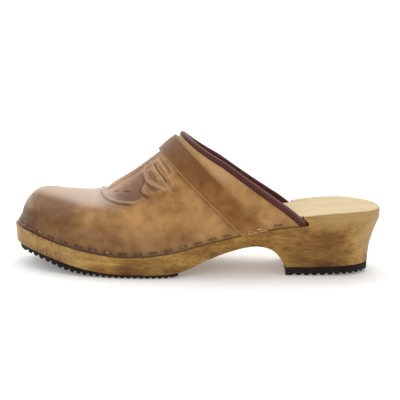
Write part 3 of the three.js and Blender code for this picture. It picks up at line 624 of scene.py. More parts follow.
def staple_look():
    """Steel wire, flattened: clean and bright on the strap, tarnished and waxed over along the sole."""
    look, tree, place = new_look("staple steel")
    stain = add(tree, "ShaderNodeTexNoise", None, {"Vector": place, "Scale": 300, "Detail": 3})
    bright = add(tree, "ShaderNodeAttribute", {"attribute_name": "bright"}).outputs["Fac"]
    shades = ((0.42, "#B0A28C"), (0.6, "#F2EBDC"))
    clean = add(tree, "ShaderNodeValToRGB", None, {"Fac": stain}, shades)
    shades = ((0.47, "#261A12"), (0.6, "#6E5A48"))
    dull = add(tree, "ShaderNodeValToRGB", None, {"Fac": stain}, shades)
    shares = {"Factor": bright, "A": dull, "B": clean}
    colour = add(tree, "ShaderNodeMix", {"data_type": "RGBA"}, shares)
    span = {"Value": bright, "To Min": 0.5, "To Max": 0.3}
    rough = add(tree, "ShaderNodeMapRange", None, span)
    close_look(tree, {"Base Color": colour, "Roughness": rough, "Metallic": 1.0})
    return look


def thread_look():
    """Waxed polyester thread, twisted: a fine diagonal twist and a soft sheen."""
    look, tree, place = new_look("waxed thread")
    twist = {"Vector": place, "Scale": 700, "Distortion": 1.0}
    twist = add(tree, "ShaderNodeTexWave", {"bands_direction": "DIAGONAL"}, twist)
    shades = ((0.0, "#4A2A28"), (1.0, "#86584E"))
    colour = add(tree, "ShaderNodeValToRGB", None, {"Fac": twist}, shades)
    relief = {"Strength": 0.3, "Distance": 0.0002, "Height": twist}
    relief = add(tree, "ShaderNodeBump", None, relief)
    sockets = {"Base Color": colour, "Normal": relief, "Roughness": 0.5}
    close_look(tree, sockets | {"Sheen Weight": 0.2})
    return look


# Colours laid over each leather where its mesh is marked: mark, colour, strength
CUT, FLESH = ("edge", "#C79E6C", 0.9), ("inside", "#C6A67C", 1.0)
# On each leather the pale greyish layer is painted sheen, the near-black one painted shadow in gaps and
# holes, and the dark ones partly burnished wear and stain, partly painted shade.
UPPER_LAYERS = (
    ("burnish", "#4F2E19", 0.85), ("dip", "#5E3626", 0.8), ("rub", "#D2BEAE", 0.85), CUT, FLESH,
    ("seam", "#2A1A12", 0.9),
)
STRAP_LAYERS = (("burnish", "#56341C", 0.85), ("rub", "#C9B5A4", 0.8), CUT, ("seam", "#2A1A12", 0.85))
BINDING_LAYERS = (("burnish", "#241010", 0.85), ("rub", "#C09A94", 0.8))

wood = wood_look()
upper_leather = leather_look(
    "burnished cow leather", "#855A2B", "#B88B52", UPPER_LAYERS, gloss=0.38, shine=0.28, seed=0.0
)
strap_leather = leather_look(
    "oiled strap leather", "#784B1D", "#9E6C34", STRAP_LAYERS, gloss=0.4, shine=0.25, seed=0.3
)
binding_leather = leather_look(
    "dyed binding leather", "#40150F", "#592620", BINDING_LAYERS, gloss=0.34, shine=0.22, seed=0.6
)
rubber = rubber_look()
staple_steel = staple_look()
thread = thread_look()


# Staples: where each one sits on the leather or on the strap


def staple_places():
    """Station, side and offset of each staple, walked along the outline from the toe."""
    places = []
    middle = (STRAP_FRONT[0] + STRAP_BACK[0]) / 2
    # free of the strap's sides, and of the collar's edge above
    beside, below = 1.6 * STAPLE_CROWN, 1.1
    keep_off = (STRAP_BACK[0] - STRAP_FRONT[0]) / 2 + beside / LAST_LENGTH
    step = 0.0005
    stations = np.arange(step, COLLAR_END, step)
    for side in (-1, 1):
        walks = np.linalg.norm(outline(stations, side) - outline(stations - step, side), axis=-1)
        room = collar_height(x_of(stations) + STAPLE_CROWN / 2, side, BINDING_WIDTH)
        room = room > ledge_height(stations) + STAPLE_RISE + below + CLEARANCE
        walked = STAPLE_SPACING / 2
        for station, walk, fits in zip(stations, walks, room):
            if not fits:
                break
            walked += walk
            if abs(station - middle) < keep_off:
                walked = STAPLE_SPACING
            elif walked >= STAPLE_SPACING:
                walked -= STAPLE_SPACING
                places.append((station, side, 0.0))
        for share in (-0.5, 0.5):
            shift = share * STRAP_STAPLE_SPACING / LAST_LENGTH
            places.append((middle + shift, side, STRAP_THICKNESS + CLEARANCE))
    return np.array(places)


STAPLES = staple_places()
STAPLE_WAY = UPRIGHT_WAY * (STAPLE_RISE - CLEARANCE) / (REBATE_HEIGHT - CLEARANCE)


# Upper: one wall of leather with its tooled ornament

# Tooled lines on the vamp: rise in mm, half width in mm, and their points on the leather, each a
# station in parts of CHART[0] and a way in parts of CHART[1]
CHART = (10000, 1000)
ORNAMENT = {
    "bead": (0.6, 0.62, [
        (2165, 990), (2185, 953), (2305, 808), (2445, 728), (2585, 670), (2755, 615), (2945, 584),
        (3175, 553), (3300, 553),
    ]),
    "bead groove": (-0.6, 0.6, [
        (2135, 985), (2155, 935), (2275, 790), (2420, 710), (2565, 653), (2745, 598), (2940, 567),
        (3140, 540),
    ]),
    "outer line": (0.3, 0.7, [
        (2010, 920), (2070, 822), (2180, 737), (2425, 662), (2740, 582), (3010, 529),
    ]),
    "outer line groove": (-0.22, 0.8, [
        (2050, 905), (2115, 815), (2230, 737), (2455, 668), (2760, 590),
    ]),
    "first petal": (-0.65, 0.55, [
        (3335, 840), (3350, 784), (3395, 738), (3395, 688), (3295, 649), (3320, 615), (3390, 583),
        (3475, 556), (3540, 546),
    ]),
    "first petal rib": (0.35, 0.9, [
        (3375, 850), (3440, 745), (3450, 700), (3370, 650), (3400, 610), (3480, 580),
    ]),
    "second petal": (0.6, 0.8, [
        (3480, 900), (3460, 860), (3440, 804), (3465, 711), (3575, 654), (3765, 596), (3970, 550),
        (4060, 536),
    ]),
    "second petal groove": (-0.4, 0.6, [
        (3420, 840), (3405, 790), (3425, 712), (3540, 640), (3740, 580),
    ]),
    "third petal": (0.6, 0.8, [
        (3620, 905), (3655, 846), (3685, 780), (3775, 700), (3875, 639), (3970, 580), (4120, 515),
    ]),
    "third petal groove": (-0.5, 0.6, [
        (3690, 850), (3725, 780), (3815, 700), (3915, 642), (4010, 588),
    ]),
    "fourth petal": (0.4, 0.9, [
        (3790, 860), (3850, 790), (3960, 697), (4075, 615), (4190, 545),
    ]),
    "fourth petal groove": (-0.35, 0.8, [
        (3850, 850), (3905, 790), (4010, 705), (4110, 640),
    ]),
    "curl": (0.45, 0.6, [(3440, 905), (3500, 868), (3570, 850), (3620, 858)]),
    "stem": (0.3, 0.6, [(2990, 800), (3020, 772), (3030, 704)]),
    "seed one": (-0.6, 0.5, [(2590, 806), (2650, 790), (2710, 776)]),
    "seed two": (-0.6, 0.5, [(2870, 726), (2950, 705), (3035, 684)]),
    "seed three": (-0.35, 0.5, [(2680, 708), (2785, 690)]),
}
# Ground between the tooled lines, pressed down and stained darker: depth in mm, depth of colour, and
# its corners on the same chart
GROUND = (
    (0.25, 0.88, [
        (2200, 945), (2305, 815), (2445, 735), (2585, 678), (2755, 623), (2945, 592), (3175, 560),
        (3330, 560), (3390, 583), (3320, 615), (3295, 649), (3395, 688), (3395, 738), (3350, 784),
        (3350, 870), (3400, 930), (3000, 925), (2600, 920), (2350, 940),
    ]),
    (0.2, 0.7, [
        (3490, 690), (3590, 640), (3760, 590), (3900, 560), (3700, 560), (3560, 590), (3460, 640),
    ]),
    (0.25, 0.8, [
        (3720, 830), (3800, 830), (3890, 740), (3990, 655), (4040, 600), (3930, 650), (3810, 720),
    ]),
    (0.45, 1.0, [
        (3500, 800), (3620, 780), (3700, 710), (3770, 655), (3850, 600), (3660, 650), (3530, 705),
    ]),
)
# Tooled lines beside the crown: distance from it and rise in mm, their half width, and the stations
# where they come in and end
CROWN_LINES = ((0.9, 0.5), (2.8, -0.5), (4.8, 0.5), (6.2, -0.3))
CROWN_LINE_WIDTH = 0.7
CROWN_LINE_SPAN = ((1.0, ("station", 0.232, 0.250), ("station", 0.41, 0.375)),)
# Share by which the tooling is deepened, so that it shows as it does on a worn and waxed upper
RELIEF = 1.35
# Stations between which the vamp is tooled, and the points by which a tooled line is drawn
TOOLED = (0.17, 0.47)
LINE_POINTS = 24


def distance_to_line(points, line):
    """Distance from each point to a line of points."""
    best = np.full(len(points), 1e9)
    for a, b in zip(line[:-1], line[1:]):
        along = b - a
        t = np.clip((points - a) @ along / max(along @ along, 1e-9), 0, 1)
        best = np.minimum(best, np.linalg.norm(points - a - t[:, None] * along, axis=1))
    return best


def smooth_line(rows, count):
    """A rounder line through charted points, which is walked by its length on the leather."""
    longer_along = (4, 1)
    steps = np.linalg.norm(np.diff(rows, axis=0) * longer_along, axis=1)
    walked = np.concatenate([[0], np.cumsum(steps)])
    walked /= walked[-1]
    at = np.linspace(0, 1, count)
    return np.stack([lookup(np.column_stack([walked, rows]), k, at) for k in (1, 2)], -1)


def inside_of(points, corners):
    """Whether each point of the chart lies inside a closed line."""
    x, y = points.T
    odd = np.zeros(len(points), bool)
    for (ax, ay), (bx, by) in zip(corners, np.roll(corners, -1, axis=0)):
        crosses = (ay > y) != (by > y)
        at = ax + (y - ay) * (bx - ax) / (by - ay if by != ay else 1e-9)
        odd ^= crosses & (x < at)
    return odd


def ornament_relief(points, from_crown, chart):
    """Rise of the tooled leather, how dark it is (stain on the pressed ground, painted shade in the
    grooves) and how much painted highlight its ridges get, at each point.
    """
    rise, stain_and_groove_shade, ridge_highlight = (np.zeros(len(points)) for _ in range(3))
    near = np.nonzero((chart[:, 0] > TOOLED[0]) & (chart[:, 0] < TOOLED[1]))[0]
    near_points = points[near]
    for height, half_width, rows in ORNAMENT.values():
        stations, ways = smooth_line(np.array(rows) / CHART, LINE_POINTS).T
        for side in (-1, 1):
            line = leather_point(stations, side, np.minimum(ways, 0.995))
            away = distance_to_line(near_points, line)
            # a line fades out at its ends
            fade = band(distance_to_line(near_points, line[2:-2]), 2.5, 0.3)
            shape = np.exp(-((away / half_width) ** 2)) * (0.25 + 0.75 * fade)
            rise[near] += RELIEF * height * shape
            # grooves are darkened as painted shade, and raised lines get a painted highlight
            if height < 0:
                deep = 1.9 * abs(height) * np.exp(-((away / (1.25 * half_width)) ** 2)) * fade
                stain_and_groove_shade[near] = np.maximum(stain_and_groove_shade[near], deep)
            else:
                ridge_highlight[near] = np.maximum(ridge_highlight[near], 1.1 * height * shape)
    for depth, colour, rows in GROUND:
        corners = np.array(rows) / CHART
        stations, ways = np.concatenate([corners, corners[:1]]).T
        inside = inside_of(chart[near], corners)
        fading = 1 - 0.75 * band(chart[near, 1], 0.7, 0.9)
        for side in (-1, 1):
            away = distance_to_line(near_points, leather_point(stations, side, ways))
            soft = band(away, 0.0, 1.4) * inside * (near_points[:, 1] * side > 0)
            rise[near] -= depth * soft
            stain_and_groove_shade[near] = np.maximum(stain_and_groove_shade[near], colour * soft * fading)
    span = strongest(CROWN_LINE_SPAN, station=chart[:, 0])
    for distance, height in CROWN_LINES:
        shape = np.exp(-(((from_crown - distance) / CROWN_LINE_WIDTH) ** 2)) * span
        rise += height * shape
        # the crown's grooves get painted shade and its raised lines a painted highlight
        if height < 0:
            stain_and_groove_shade = np.maximum(stain_and_groove_shade, 0.6 * shape)
        else:
            ridge_highlight = np.maximum(ridge_highlight, 1.3 * shape)
    return rise, stain_and_groove_shade, ridge_highlight


def past_strap(x, z, edge):
    """Distance along X from an edge of the strap, positive towards the heel."""
    foot = float(ledge_height(edge[0])) + CLEARANCE
    up = z - foot
    bow = edge[2] * np.sin(math.pi * up / (INSTEP_HEIGHT - foot))
    return x - x_of(edge[0]) + edge[1] * up + bow


# Marks on the leather, as patches: along the shoe, height, and height above the ledge
# darker toe and lower leather, partly burnished wear and partly painted shade where the toe's front
# turns away from the light
TOE_WEAR_AND_SHADE = (
    (0.98, ("x", -103, -116), ("z", 48, 38)),
    (0.72, ("x", -74, -98), ("z", 53, 48)),
    (0.75, ("x", -60, -98), ("above", 28, 8)),
    (0.45, ("above", 26, 8), ("x", 20, -30)),
)
# painted sheen, pale over the toe cap, lower down towards the ornament, and on the very tip
CAP_LINE = ((-121, 45.5), (-112, 48.8), (-105, 47.8), (-98, 46.7), (-88, 45.0), (-80, 43.6))
TOE_SHEEN = ((0.72, ("over cap", -0.5, 4.5), ("x", -52, -76)), (0.34, ("x", -115, -121), ("above", 10, 18)))
SHADE = ((0.4, ("x", -58, -44), ("x", -28, -38), ("z", 47, 52)),)
# Staple troughs: half length, half width, depth; and the hole at each end of the staple
TROUGH, HOLE = (2.9, 1.7, 0.5), (0.7, 0.7, 0.35)
HOLE_PLACE = 2.0
STAPLE_STEP = 0.004


def press_staples(points, above):
    """How far each point lies in the trough of a staple, and in the hole of its leg."""
    dent, hole = np.zeros(len(points)), np.zeros(len(points))
    low = np.nonzero(above < 14)[0]
    for station, side, offset in STAPLES:
        if offset > 0:
            continue
        middle = leather_point(station, side, STAPLE_WAY)
        along = unit(leather_point(station + STAPLE_STEP, side, STAPLE_WAY) - middle)
        away = points[low] - middle
        run = away @ along
        across = np.linalg.norm(away - run[:, None] * along, axis=1)
        dent[low] += np.exp(-((run / TROUGH[0]) ** 2) - (across / TROUGH[1]) ** 2)
        past = (np.abs(run) - HOLE_PLACE) / HOLE[0]
        hole[low] += np.exp(-(past**2) - (across / HOLE[1]) ** 2)
    return dent, hole


def leather_marks(points, above, dent, hole, stain_and_groove_shade, ridge_highlight):
    x, z = points[:, 0], points[:, 2]
    axes = {"x": x, "z": z, "above": above, "over cap": z - np.interp(x, *np.transpose(CAP_LINE))}
    foot = band(above, 9.0, 1.0) * (0.35 + 0.5 * band(x, 0, -60))
    # darker toe and foot, partly burnished wear, with painted shade in the staple troughs
    burnish = np.maximum(strongest(TOE_WEAR_AND_SHADE, **axes), foot) + 0.3 * dent
    # painted shadow: a dark line along the gap at the leather's foot, and dark staple holes
    seam = band(above, 1.5, 0.8) * (0.55 + 0.45 * band(x, 20, -60)) + 1.2 * hole
    behind_strap = band(past_strap(x, z, STRAP_BACK), -4, 6) * (0.12 + 0.7 * band(z, 58, 71))
    # painted sheen over the toe cap and the tooled ridges; stain on the tooled ground, with painted
    # shade in the grooves and over the vamp
    marks = {"burnish": burnish, "rub": strongest(TOE_SHEEN, **axes) + 0.42 * ridge_highlight}
    marks |= {"dip": stain_and_groove_shade + strongest(SHADE, **axes), "edge": behind_strap, "seam": seam}
    return {label: np.clip(value, 0, 1) for label, value in marks.items()}


def build_upper():
    throat = float(station_of(throat_x()))
    # stations from one place to the next and how many, closest together along the ornament
    spans = ((0, 0.19, 56), (0.19, 0.43, 150), (0.43, throat, 5), (throat, COLLAR_END, 66))
    stations = np.concatenate([along_outline(-1, *span)[:-1] for span in spans] + [[COLLAR_END]])
    station = np.concatenate([stations[::-1], stations[1:]])[:, None]
    side = np.concatenate([-np.ones(len(stations)), np.ones(len(stations) - 1)])[:, None]
    edge = way_at_height(station, collar_height(x_of(station), side))
    is_open = station > throat + 1e-9
    # the inner face has one row for every four of the outer face
    thin = 4
    rows = 30 * thin + 1
    top = np.where(is_open, edge, 1.0)
    fine = top * np.linspace(0, 1, 260)[None]
    steps = np.linalg.norm(np.diff(leather_point(station, side, fine), axis=1), axis=2)
    walked = np.concatenate([np.zeros((len(station), 1)), np.cumsum(steps, 1)], 1)
    # rows lie closer together on the upper half, where the ornament is
    climb = np.linspace(0, 1, rows)
    climb = climb + 0.3 * climb * (1 - climb)
    ways = np.stack([np.interp(w[-1] * climb, w, f) for w, f in zip(walked, fine)])
    outer = leather_point(station, side, ways)
    normal = leather_normal(station, side, ways)
    level = normal.copy()
    level[:, 0, 2] = 0
    inner = outer - unit(level) * LEATHER_WALL
    from_crown = np.where(is_open, 99.0, walked[:, -1:] * (1 - climb))
    flat = outer.reshape(-1, 3)
    spread = [np.broadcast_to(a, ways.shape).reshape(-1) for a in (from_crown, station)]
    chart = np.stack([spread[1], ways.reshape(-1)], 1)
    rise, stain_and_groove_shade, ridge_highlight = ornament_relief(flat, spread[0], chart)
    above = flat[:, 2] - ledge_height(spread[1])
    # each staple presses a small trough, and the leather swells between them
    dent, hole = press_staples(flat, above)
    swell = 0.22 * np.exp(-(((above - 3.0) / 4.0) ** 2))
    rise += swell * (1 - np.clip(dent, 0, 1)) - TROUGH[2] * dent - HOLE[2] * hole
    outer = outer + normal * rise.reshape(ways.shape)[..., None]
    marks = leather_marks(flat, above, dent, hole, stain_and_groove_shade, ridge_highlight)
    marks = {label: value.reshape(ways.shape) for label, value in marks.items()}

    piece = Piece()
    piece.grid(outer, **marks)
    inner = inner[:, ::thin]
    piece.grid(inner[:, ::-1], inside=1.0)
    # the leather's bottom face is painted dark as shade over the ledge
    piece.grid(np.stack([inner[:, 0], outer[:, 0]], 1), burnish=1.0)
    both = np.stack([outer[:, -1], inner[:, -1]], 1)
    count = int(is_open.sum()) // 2 + 1
    piece.grid(both[:count], edge=1.0)
    piece.grid(both[len(both) - count :], edge=1.0)
    for end in (0, -1):
        corners = [outer[end, k : rows - thin + k : thin] for k in range(thin)]
        corners += [outer[end, thin::thin], inner[end, 1:], inner[end, :-1]]
        piece.polygons(np.stack(corners, 1), edge=1.0)
    return piece


# Wooden sole: stacked layers from the tread up to the footbed


# Rounding of the wood's lower edge and of the ledge's edge
WOOD_ROUND, LEDGE_ROUND = 0.6, 0.45
# Marks on the wood, as patches: place along the shoe, height, height over the underside, depth below
# the rim
NEAR_FLOOR = ((0.12,), (0.45, ("over floor", 10, 1)))
BLOTS = (
    (0.85, ("x", -62, -42), ("x", -10, -26), ("z", 20, 8)),
    (0.25, ("x", -10, 10), ("x", 45, 25), ("over floor", 8, 1)),
    (0.3, ("x", 48, 66), ("x", 116, 98), ("z", 42, 30)),
)
# paler places: painted light along the heel's upper band and around its back, and paler grain towards
# the toe
PALE_AND_LIT = (
    (0.8, ("below rim", 14, 4), ("bare", 0, 1), ("x", 55, 100)),
    (0.6, ("station", 0.90, 0.965), ("z", 12, 24)),
    (0.4, ("x", -60, -100)),
)
FLECKED = ((0.5, ("x", -84, -100), ("x", -125, -116)),)
# How bare each of the last layers is, from the wall up to the footbed
SEAT_LAYERS = (0.0, 0.0, 0.25, 0.8, 1.0, 1.0)


def wood_marks(wall, stations, under, top, open_ledge):
    """Stained, paler and flecked places on one side of the sole: painted light pales the heel's upper
    band and back, and painted shade darkens the wood where the leather stands on it.
    """
    x, z = wall[..., 0], wall[..., 2]
    axes = {"x": x, "z": z, "over floor": z - under, "below rim": top - z}
    axes |= {"station": stations, "bare": ~open_ledge}
    # painted shade where the leather stands on the wood
    corner_shade = np.zeros((len(wall), 1))
    corner_shade[21:23] = [[0.8], [1.0]]
    corner_shade = corner_shade * open_ledge
    worn = strongest(NEAR_FLOOR, **axes) + sum(strongest([blot], **axes) for blot in BLOTS)
    worn = np.clip(worn, 0, 1) * (1 - 0.7 * band(stations, 0.90, 0.965))
    pale = strongest(PALE_AND_LIT, **axes) * (1 - corner_shade)
    return {"burnish": np.maximum(worn, corner_shade), "pale": pale, "fore": strongest(FLECKED, **axes)}


def build_wood_sole():
    pocket_start, pocket_ramp, jump = COLLAR_END - 0.075, 0.012, 0.0006
    edge = BINDING_THICKNESS + 2 * CLEARANCE
    rebate_end = COLLAR_END + (edge + CLEARANCE) / LAST_LENGTH

    def collar_top(station):
        return collar_height(x_of(station), -1) + edge / COLLAR_FALL

    notch_start = float(
        crossing(lambda s: rim_height(s) - RIM_ROUND - collar_top(s), pocket_start, rebate_end)
    )
    flat_end = along_outline(-1, 0, 1, 260)
    jumps = [notch_start, notch_start + jump, rebate_end, rebate_end + jump]
    extra = [pocket_start, pocket_start + pocket_ramp / 2, pocket_start + pocket_ramp, *jumps]
    stations = np.unique(np.concatenate([flat_end, extra]))

    open_ledge = stations <= rebate_end
    own_shelf = shelf(stations)
    pocket = np.clip((stations - pocket_start) / pocket_ramp, 0, 1)
    depth = LEATHER_WALL + CLEARANCE + pocket * (BINDING_THICKNESS + CLEARANCE)
    depth = np.where(open_ledge, depth, -own_shelf)
    leant = depth + np.where(open_ledge, lean(stations), 0)
    rim = np.where(stations > notch_start, -own_shelf, leant)
    ledge, under, top = ledge_height(stations), underside_height(stations), rim_height(stations)
    notch_top = np.maximum(np.minimum(top - RIM_ROUND, collar_top(stations)), ledge)
    notch_top = np.where(open_ledge, notch_top, ledge)

    low_round, ledge_round = WOOD_ROUND, np.where(open_ledge, LEDGE_ROUND, 0.0)
    # each layer: inset from the outline, height, share of the breast's skew
    layers = []
    for left, ahead in quarter(4)[::-1]:
        height = under + low_round * ahead
        layers.append((side_inset(stations, height) + low_round * left, height, 1.0))
    for share in np.linspace(0, 1, 15)[1:]:
        height = under + low_round + (ledge - ledge_round - under - low_round) * share
        layers.append((side_inset(stations, height), height, 1 - share))
    for left, ahead in quarter(4):
        layers.append((ledge_round * left - own_shelf, ledge - ledge_round * ahead, 0.0))
    layers += [(depth, ledge, 0.0), (leant, notch_top, 0.0), (rim, notch_top, 0.0)]
    for share in (0.33, 0.66, 1.0):
        layers.append((rim, notch_top + (top - RIM_ROUND - notch_top) * share, 0.0))
    layers += [(rim + RIM_ROUND * left, top - RIM_ROUND * ahead, 0.0) for left, ahead in quarter(7)[1:]]

    full = [inset_point(stations, side, RIM_ROUND - own_shelf)[:, 1] for side in (-1, 1)]

    def dish(y):
        """Depth of the footbed below its rim, by the place across the whole sole."""
        full_width = np.maximum(full[1] - full[0], 0.01)
        share = np.clip((y - full[0]) / full_width, 0, 1)
        return FOOTBED_DISH * 4 * share * (1 - share) * np.minimum(1, full_width / HEEL_WIDTH)

    def wall(side):
        rows = []
        for k, (inset, height, skew) in enumerate(layers):
            plan = inset_point(skewed(stations, side, skew), side, inset)
            dished = np.clip((k - len(layers) + 10) / 3, 0, 1) * dish(plan[:, 1])
            rows.append(np.concatenate([plan, (height - dished)[:, None]], 1))
        return np.array(rows)

    outer, inner = wall(-1), wall(1)
    piece = Piece()
    seat_rows = np.zeros((len(layers), 1))
    seat_rows[-len(SEAT_LAYERS) :, 0] = SEAT_LAYERS
    marks = wood_marks(outer, stations, under, top, open_ledge)
    for side in (outer, inner):
        piece.grid(side, seat=seat_rows, **marks)
    piece.grid(across(outer[0], inner[0], 49))
    seat = across(outer[-1], inner[-1], 49)
    seat[:, 1:-1, 2] = top[:, None] - np.stack([dish(y) for y in seat[:, 1:-1, 1].T], 1)
    piece.grid(seat, seat=1.0)
    return piece


# Rubber treads

TREAD_ROUND, TREAD_COLUMNS = 0.45, 25
# A rib and the groove behind it, as shares of the pitch: end of the land, floor of the groove
LAND, FLOOR_START, FLOOR_END = 0.34, 0.7, 0.8
RIB_SHARES = (0, 0.17, LAND, 0.41, 0.48, 0.55, 0.62, FLOOR_START, FLOOR_END, 0.86, 0.91, 0.96)
# The visible grooves are cut deeper than the solids' ones, by these shares
FRONT_GROOVE, HEEL_GROOVE = 1.4, 1.1


def rib_stations(start, end, pitch, depth):
    """Stations along the ribs, and a function that gives the depth of the groove there."""
    count = round((end - start) * LENGTH / pitch)
    step = (end - start) / count
    stations = np.append((start + (np.arange(count)[:, None] + RIB_SHARES) * step).ravel(), end)

    def groove(station):
        share = (station - start) / step
        share = share - np.floor(share + 1e-6)
        inside = (station > start + 1e-9) & (station < end - 1e-9)
        return depth * inside * band(share, LAND, FLOOR_START) * band(share, 1.0, FLOOR_END)

    return stations, groove


def build_tread(stations, bottom, top, inset_low, inset_high, skew):
    """A tread between its ribbed bottom and the wood, with a rounded lower edge."""
    piece, walls = Piece(), []
    rows = []
    for left, ahead in quarter(4):
        rows.append((inset_low + TREAD_ROUND * ahead, bottom + TREAD_ROUND * left))
    rows += [((inset_low + inset_high) / 2, (bottom + top) / 2), (inset_high, top)]
    for side in (-1, 1):
        place = skewed(stations, side, skew)
        plans = [(inset_point(place, side, inset), height) for inset, height in rows]
        walls.append(np.array([np.concatenate([p, h[:, None]], 1) for p, h in plans]))
        piece.grid(walls[-1])
    for row in (0, -1):
        piece.grid(across(walls[0][row], walls[1][row], TREAD_COLUMNS))
    return piece, walls


def close_cut(piece, walls, end):
    """The flat face of a tread that ends before the tip of the outline."""
    outer, inner = walls[0][:, end], walls[1][:, end]
    low, high = across(outer[[0, -1]], inner[[0, -1]], TREAD_COLUMNS)
    ring = np.concatenate([low, inner[1:-1], high[::-1], outer[1:-1][::-1]])
    piece.polygons(ring[None])


def build_front_tread():
    start, end = 0.012, FRONT_TREAD_END - 0.02
    ribs, groove = rib_stations(start, end, FRONT_RIB_PITCH, FRONT_GROOVE * RIB_DEPTH)
    tips = along_outline(-1, 0, start, 9)[:-1]
    stations = np.concatenate([tips, ribs, [FRONT_TREAD_END]])
    setback = TIP_SETBACK * np.clip(1 - stations / TIP_SPAN, 0, 1)
    behind = stations - setback * outline_normal(stations, 1)[:, 0] / LAST_LENGTH
    top = underside_height(behind) - CLEARANCE
    toe = TOE_SPRING * lookup(TREAD, 1, stations)
    lift = (FRONT_TREAD_GAUGE - CLEARANCE) * lookup(TREAD, 2, stations)
    half = (top - toe - lift) / 2
    bottom = toe + lift + np.minimum(groove(stations), half)
    inset_low = side_inset(stations, bottom) + SIDE_SHELF + setback
    inset_high = side_inset(stations, top) + SIDE_SHELF + setback
    piece, walls = build_tread(stations, bottom, top, inset_low, inset_high, 0.0)
    close_cut(piece, walls, -1)
    return piece


def build_heel_tread():
    start, end = HEEL_TREAD_START + 0.008, 0.985
    ribs, groove = rib_stations(start, end, HEEL_RIB_PITCH, HEEL_GROOVE * RIB_DEPTH)
    stations = np.concatenate([[HEEL_TREAD_START], ribs, along_outline(-1, end, 1, 12)[1:]])
    bottom = heel_lift(stations) + groove(stations)
    top = HEEL_TREAD_GAUGE + heel_lift(stations)
    inset_low = side_inset(stations, bottom) + SIDE_SHELF
    inset_high = side_inset(stations, top) + SIDE_SHELF
    piece, walls = build_tread(stations, bottom, top, inset_low, inset_high, 1.0)
    close_cut(piece, walls, 0)
    return piece


# Instep strap

STRAP_ROUND, STRAP_ROWS = 0.55, 141
# Lines pressed along the strap's edges: places across it, width, depth; and how full it is between
PRESSED, PRESS_WIDTH, PRESS_DEPTH, STRAP_FULLNESS = (0.16, 0.84), 0.05, 0.18, 0.12
# How light the cut edge is, from the leather up over its rounded corner
CUT_EDGE = (1, 1, 1, 0.9, 0.7, 0.4, 0.15)


def strap_grid(rows, shares, offsets):
    """Points on the strap: rows from the outer foot over the crown to the inner foot, at shares of its
    width and offsets from the leather."""
    way = np.linspace(-1, 1, rows)[:, None]
    side = np.where(way < 0, -1.0, 1.0) + 0 * shares
    feet = [(x_of(e[0]), float(ledge_height(e[0])) + CLEARANCE) for e in (STRAP_FRONT, STRAP_BACK)]
    foot_x = feet[0][0] + (feet[1][0] - feet[0][0]) * shares
    foot_z = feet[0][1] + (feet[1][1] - feet[0][1]) * shares
    run = STRAP_FRONT[1] + (STRAP_BACK[1] - STRAP_FRONT[1]) * shares
    bow = STRAP_FRONT[2] + (STRAP_BACK[2] - STRAP_FRONT[2]) * shares
    rise = INSTEP_HEIGHT - foot_z

    def x_at(height):
        up = height - foot_z
        return foot_x - run * up - bow * np.sin(math.pi * up / rise)

    high = crossing(
        lambda h: h - crown_point(station_of(x_at(h)))[..., 2], foot_z, foot_z + LENGTH
    )
    height = high + (foot_z - high) * np.abs(way) ** 1.6
    bound = collar_x(height, side, THROAT_BINDING_WIDTH + 2 * CLEARANCE)
    station = station_of(np.minimum(x_at(height), bound))
    climb = way_at_height(station, height)
    normal = leather_normal(station, side, climb)
    return leather_point(station, side, climb) + normal * (offsets * np.ones_like(way))[..., None]


def build_strap():
    low, high = CLEARANCE, CLEARANCE + STRAP_THICKNESS
    width = (STRAP_BACK[0] - STRAP_FRONT[0]) * LAST_LENGTH
    left, ahead = np.transpose(quarter(5))
    near = STRAP_ROUND * ahead[::-1] / width
    rounded = high - STRAP_ROUND * left
    flat = np.linspace(STRAP_ROUND / width, 1 - STRAP_ROUND / width, 27)[1:-1]
    middle = (low + high - STRAP_ROUND) / 2
    # a shallow line is pressed along each edge, and the strap is a little fuller between the two
    press = PRESS_DEPTH * sum(np.exp(-(((flat - place) / PRESS_WIDTH) ** 2)) for place in PRESSED)
    over = high - press + STRAP_FULLNESS * np.sin(math.pi * flat)
    # the ring round the strap: up one edge, over the top, down the other edge and back underneath
    below = np.linspace(1, 0, 14)[1:-1]
    shares = np.array([[0, 0, *near, *flat, *(1 - near[::-1]), 1, 1, *below]])
    offsets = [low, middle, *rounded[::-1], *over, *rounded, middle, low, *(low + 0 * below)]
    marks = np.array([[*CUT_EDGE, *(0 * flat), *CUT_EDGE[::-1], *(0 * below)]])
    # the lower half of each cut edge is painted dark as shade, and its rounded top keeps the pale colour
    # of the cut
    waxed = np.zeros(marks.shape)
    last = 2 * len(CUT_EDGE) + len(flat) - 1
    waxed[0, [0, 1, last - 1, last]] = 1
    marks = marks * (1 - waxed)
    rings = strap_grid(STRAP_ROWS, shares, np.array([offsets]))
    high_up = 0.65 * band(rings[..., 2], 56, 80) * (1 - marks)
    # painted sheen along the top of the strap's crown
    crown = 0.2 * band(rings[..., 2], 89, 95) * (1 - marks)
    piece = Piece()
    piece.grid(rings, wrap=True, edge=marks, burnish=high_up, rub=crown, seam=waxed)
    for end in (0, -1):
        piece.polygons(rings[end][None], edge=1.0)
    return piece


# Collar binding: a folded strip with one leg on each face of the collar's edge


def collar_edge(way, drop):
    """Point and normal of the leather's collar, moved down the leather by drop."""
    side = np.where(way < 0, -1.0, 1.0)
    drop = drop + 0 * way
    start = throat_x(drop)
    last = x_of(COLLAR_END)

    def over_ledge(x):
        return ledge_height(station_of(x)) + 2 * CLEARANCE - collar_height(x, side, drop)

    end = np.minimum(last, crossing(over_ledge, start, np.full(way.shape, x_of(COLLAR_END + 0.05))))
    x = start + (end - start) * way**2
    station = station_of(x)
    height = np.where(way == 0, crown_point(station)[..., 2], collar_height(x, side, drop))
    climb = way_at_height(station, height)
    return leather_point(station, side, climb), leather_normal(station, side, climb)


